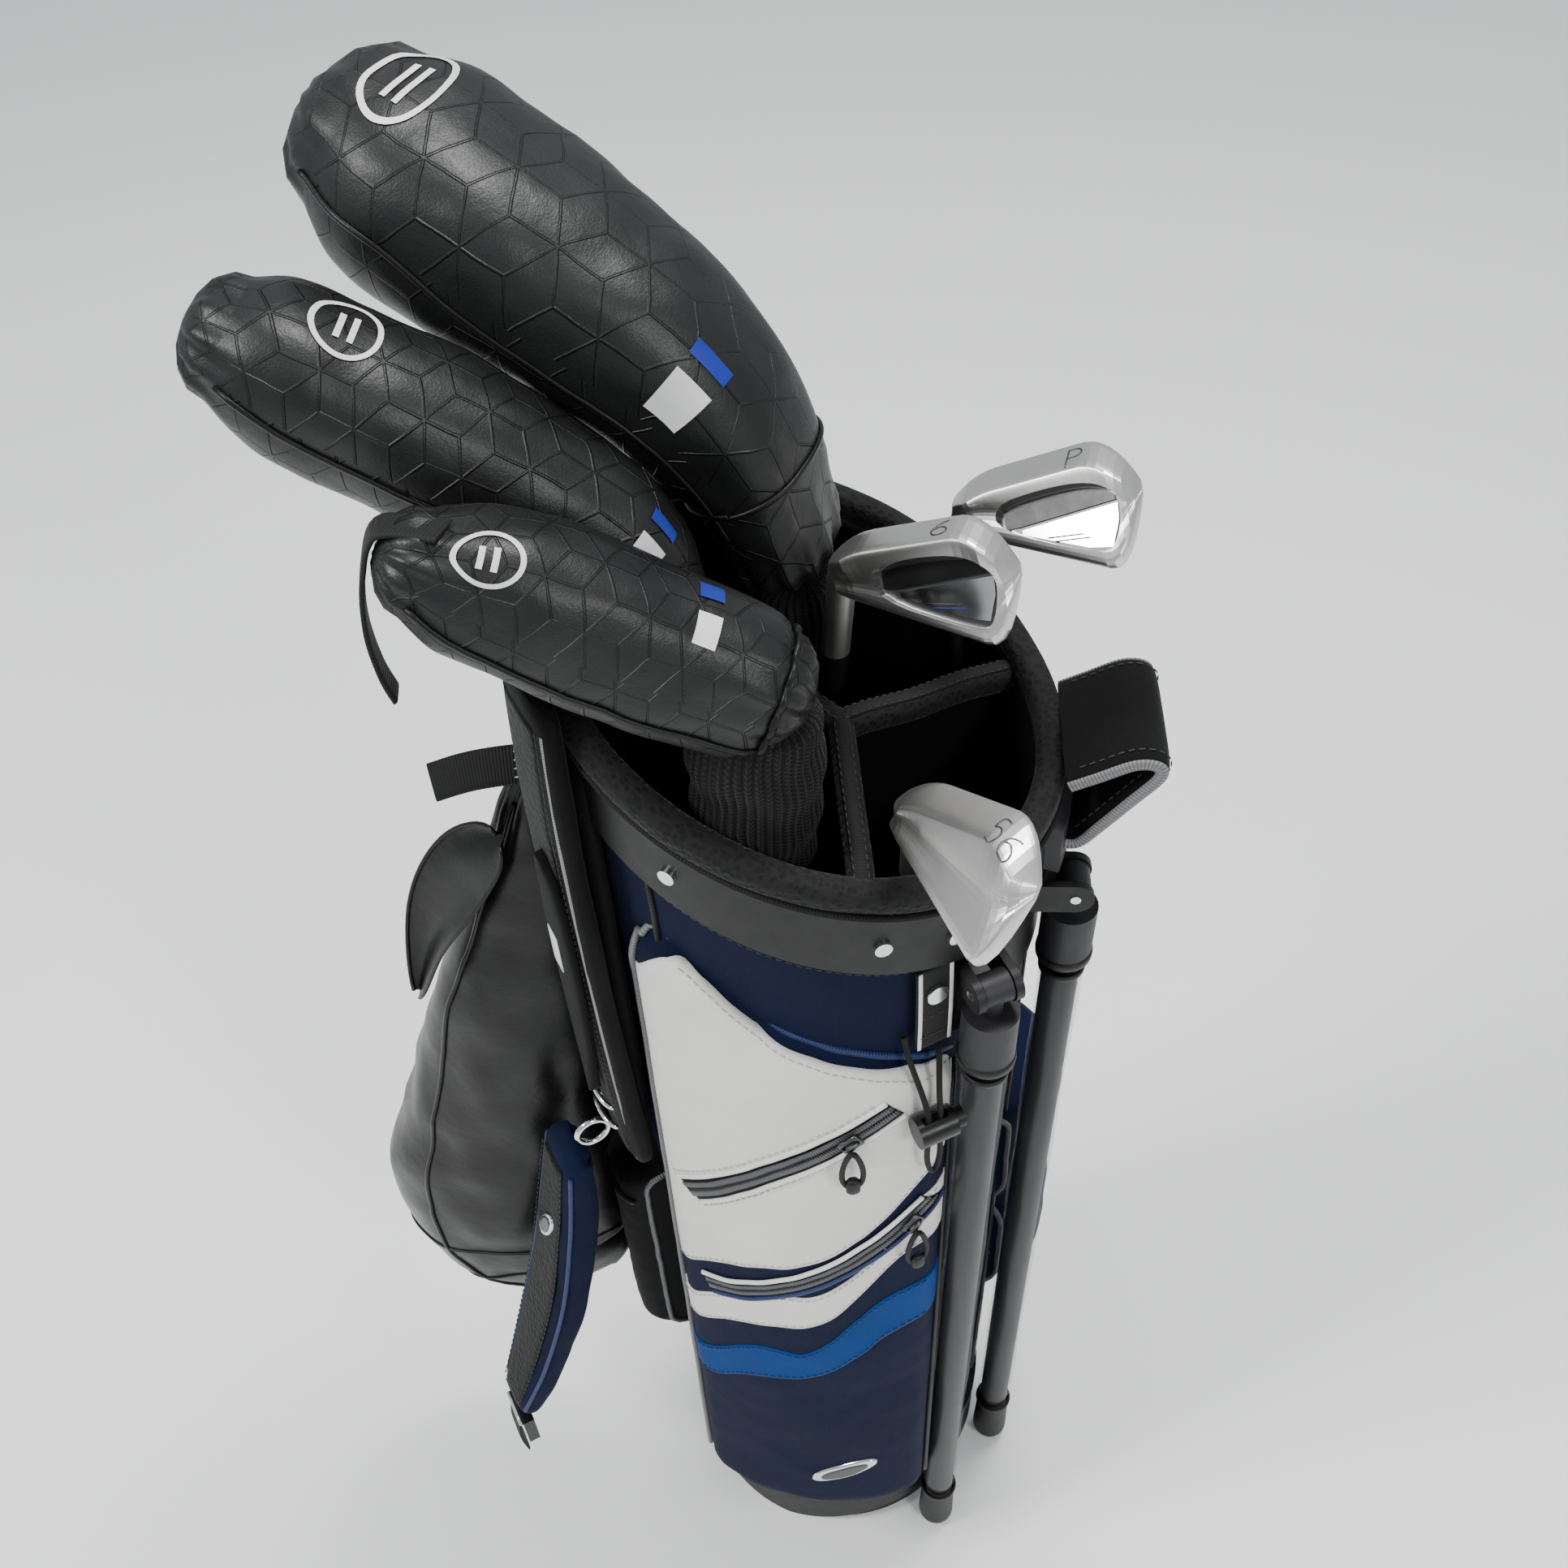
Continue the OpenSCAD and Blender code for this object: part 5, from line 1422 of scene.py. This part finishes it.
def neck_knits():
    """Knit cuffs in the necks of the two larger covers."""
    driver = [(-17, 36, 716, 16, 16), (-16, 34, 738, 18.5, 18.5), (-16, 32, 756, 20.5, 20.5)]
    fairway = [(-48, -40, 712, 15, 15), (-47, -40, 730, 18, 18), (-47, -41, 746, 19.5, 19.5)]
    for name, rows, az, ribs in (("driver", driver, DRIVER_AZ, 34), ("fairway", fairway, FAIRWAY_AZ, 32)):
        knitted(f"{name}_neck_knit", None, rows, side_of(az), f"{name}_headcover", COVER_SLOT, ribs, 0.7)


# ---------- iron markings ----------

IRON_LIE = math.radians(61.5)
# Strokes of the figures, in a box one wide and one high.
STROKES = {
    "5": [[(0.7, 1.0), (0.15, 1.0), (0.1, 0.58), (0.5, 0.6), (0.75, 0.35), (0.55, 0.03), (0.08, 0.08)]],
    "6": [[(0.75, 1.0), (0.3, 0.72), (0.05, 0.3), (0.2, 0.03), (0.55, 0.0), (0.78, 0.2), (0.7, 0.45),
           (0.4, 0.52), (0.12, 0.36)]],
    "P": [[(0.1, 0.0), (0.1, 1.0)], [(0.1, 1.0), (0.55, 1.0), (0.75, 0.8), (0.6, 0.55), (0.1, 0.5)]],
}


def club_matrix(butt, top, azimuth):
    """A club's own frame: its origin at the top of its shaft, Z along the shaft and X towards its toe."""
    d = Vector(top) - Vector(butt)
    az = math.atan2(d.y, d.x)
    turned = Matrix.Rotation(az, 4, "Z")
    tipped = Matrix.Rotation(math.acos(d.z / d.length), 4, "Y")
    spun = Matrix.Rotation(math.radians(azimuth) - az, 4, "Z")
    return Matrix.Translation(butt) @ turned @ tipped @ spun @ Matrix.Translation((0, 0, d.length))


def blade_point(matrix, loft, s, h, d):
    """A point of an iron's blade: s towards the toe, h up the face and d behind it."""
    a = math.radians(loft)
    t = np.array([math.sin(IRON_LIE), 0, math.cos(IRON_LIE)])
    u = np.array([math.cos(IRON_LIE), 0, -math.sin(IRON_LIE)])
    n = np.array([0, 1.0, 0])
    f = n * math.cos(a) + u * math.sin(a)
    up = u * math.cos(a) - n * math.sin(a)
    p = np.array([0, 0, 62.0]) + n * 5.5 + t * s + up * h - f * d
    return np.array(matrix @ Vector(p))


def sole_figures(club, matrix, loft, figures, start, size, width):
    """Plain stamped figures on an iron's sole, drawn as thin strokes projected onto the head."""
    name = club + "_head"
    head = NODES[name]
    inverse = head.matrix_world.inverted()
    step = 0
    for figure in figures:
        for k, line in enumerate(STROKES[figure]):
            hits = []
            for x, y in spline(line, 5):
                s = start + step + x * size
                d = (0.5 - y) * size * 0.9 + width / 2
                above, below = (np.array(inverse @ Vector(blade_point(matrix, loft, s, h, d) * MM))
                                for h in (-22, 40))
                hit, place, normal, _ = head.ray_cast(Vector(above), Vector(below - above).normalized())
                if hit:
                    hits.append(np.array(head.matrix_world @ (place + normal * 0.00008)) / MM)
            if len(hits) > 3:
                sweep(f"{name}_figure_{figure}_{step:.0f}_{k}", hits, 0.42, 0.16, DARK_STEEL, club,
                      "head_satin", n=6)
        step += size * 1.05


def iron_plates():
    """Chrome lower plates, medallions and engraved lines in the iron cavities."""
    for name, club, loft, rise in (("iron6", IRON6, 28, 0.0), ("pw", PW, 44, 4.5)):
        plate = [(23, 27), (66.5, 25.5), (66, 33), (62, 43.5), (52, 41.5), (23, 29)]
        badge = [(15.5, 17), (36, 16), (58, 17.5), (65.5, 22), (66, 24), (22, 25.5), (15.5, 25)]
        for label, look, line in (("plate", CHROME, plate), ("badge", GLOSS_PLASTIC, badge)):
            n = len(line)
            verts = [blade_point(club, loft, x, y + rise, 5.2) for x, y in line]
            verts += [blade_point(club, loft, x, y + rise, 6.3) for x, y in line]
            faces = [list(range(n)), list(range(2 * n - 1, n - 1, -1))]
            faces += [(k, n + k, n + (k + 1) % n, (k + 1) % n) for k in range(n)]
            make(f"{name}_{label}", verts, faces, look, name, smooth=False)
        for k, d in enumerate((0.0, 2.2)):
            line = [blade_point(club, loft, 34 + 3 * k + 16 * t, 33 + rise + d + 2 * t, 6.4)
                    for t in np.linspace(0, 1, 5)]
            colour = MARK_BLUE if k else DARK_STEEL
            sweep(f"{name}_groove_{k + 1}", line, 0.5, 0.15, colour, name, "insert_dark", n=6)


IRON6 = club_matrix((-58, 10, 44), (10, 11, 738), 3)
PW = club_matrix((20, 52, 43), (46, 71, 736), 8)
WEDGE = club_matrix((22, 20, 44), (77, -58, 688), -24)


def carried_over():
    """Materials of the CAD nodes that stay."""
    clubs = ("driver", "fairway", "hybrid", "iron6", "pw", "wedge")
    dress(BLACK_PLASTIC, "top_collar", "base_boot", "leg_bracket", "base_flap", "cord_lock_button",
          "leg_front_foot", "leg_back_foot")
    dress(GREY_PLASTIC, "handle_housing", "leg_front_knuckle", "leg_back_knuckle")
    dress(GLOSS_PLASTIC, "cord_lock", "strap_buckle", "iron6_ferrule", "driver_head", "fairway_head",
          "hybrid_head")
    dress(CHROME, "collar_rivets", "strap_ring", "leg_pivot_pins", "flap_pin")
    dress(STEEL, "actuator_rods")
    dress(LEG, "leg_front_tube", "leg_back_tube", "stay_rods")
    dress(GRIP, *(club + "_grip" for club in clubs))
    dress(SHAFT, *(club + "_shaft" for club in clubs))
    dress(SATIN, "iron6_head", "pw_head", "wedge_head")
    dress(DARK_STEEL, "iron6_insert", "pw_insert")


def studio():
    """A pale floor and soft lights."""
    bpy.ops.mesh.primitive_plane_add(size=1)
    floor = bpy.context.object
    floor.name = "floor"
    floor.scale = (30, 30, 1)
    floor.location = (0, 0, -0.0005)
    floor.data.materials.append(FLOOR)
    world = bpy.data.worlds.new("studio")
    world.use_nodes = True
    background = world.node_tree.nodes["Background"].inputs
    background["Color"].default_value = (0.93, 0.96, 1.0, 1)
    background["Strength"].default_value = 0.6
    bpy.context.scene.world = world
    for name, place, size, power in (("key", (-1.5, -1.6, 2.9), 0.9, 80), ("fill", (2.2, -1.2, 2.2), 0.8, 34),
                                     ("top", (0.2, 0.6, 3.0), 0.8, 60)):
        data = bpy.data.lights.new(name, "AREA")
        data.shape = "DISK"
        data.size = size
        data.energy = power
        light = bpy.data.objects.new(name, data)
        bpy.context.scene.collection.objects.link(light)
        light.location = place
        light.rotation_euler = (Vector((0, 0, 0.5)) - Vector(place)).to_track_quat("-Z", "Y").to_euler()


bag_body()
rim_roll()
divider()
front_pocket()
slider("slider_upper", 20, UPPER_ZIP)
slider("slider_lower", 50, LOWER_ZIP)
pod("ball_pocket", 41, 91, 54, 51, 212, 403, NAVY, "body_navy", waist=7)
pod("side_pouch", -135, 42, 92, 23, 232, 405, BLACK, "side_black")
black_strap()
navy_strap()
hood_pouch()
leaf_flap()
glove_tab()
grab_handle()
right_stripe()
webbing_loop()
legs()
headcovers()
neck_knits()
sole_figures("iron6", IRON6, 28, "6", 44, 9, 19)
sole_figures("pw", PW, 44, "P", 48, 9, 20)
sole_figures("wedge", WEDGE, 48, "56", 52, 8, 20)
iron_plates()
carried_over()
studio()
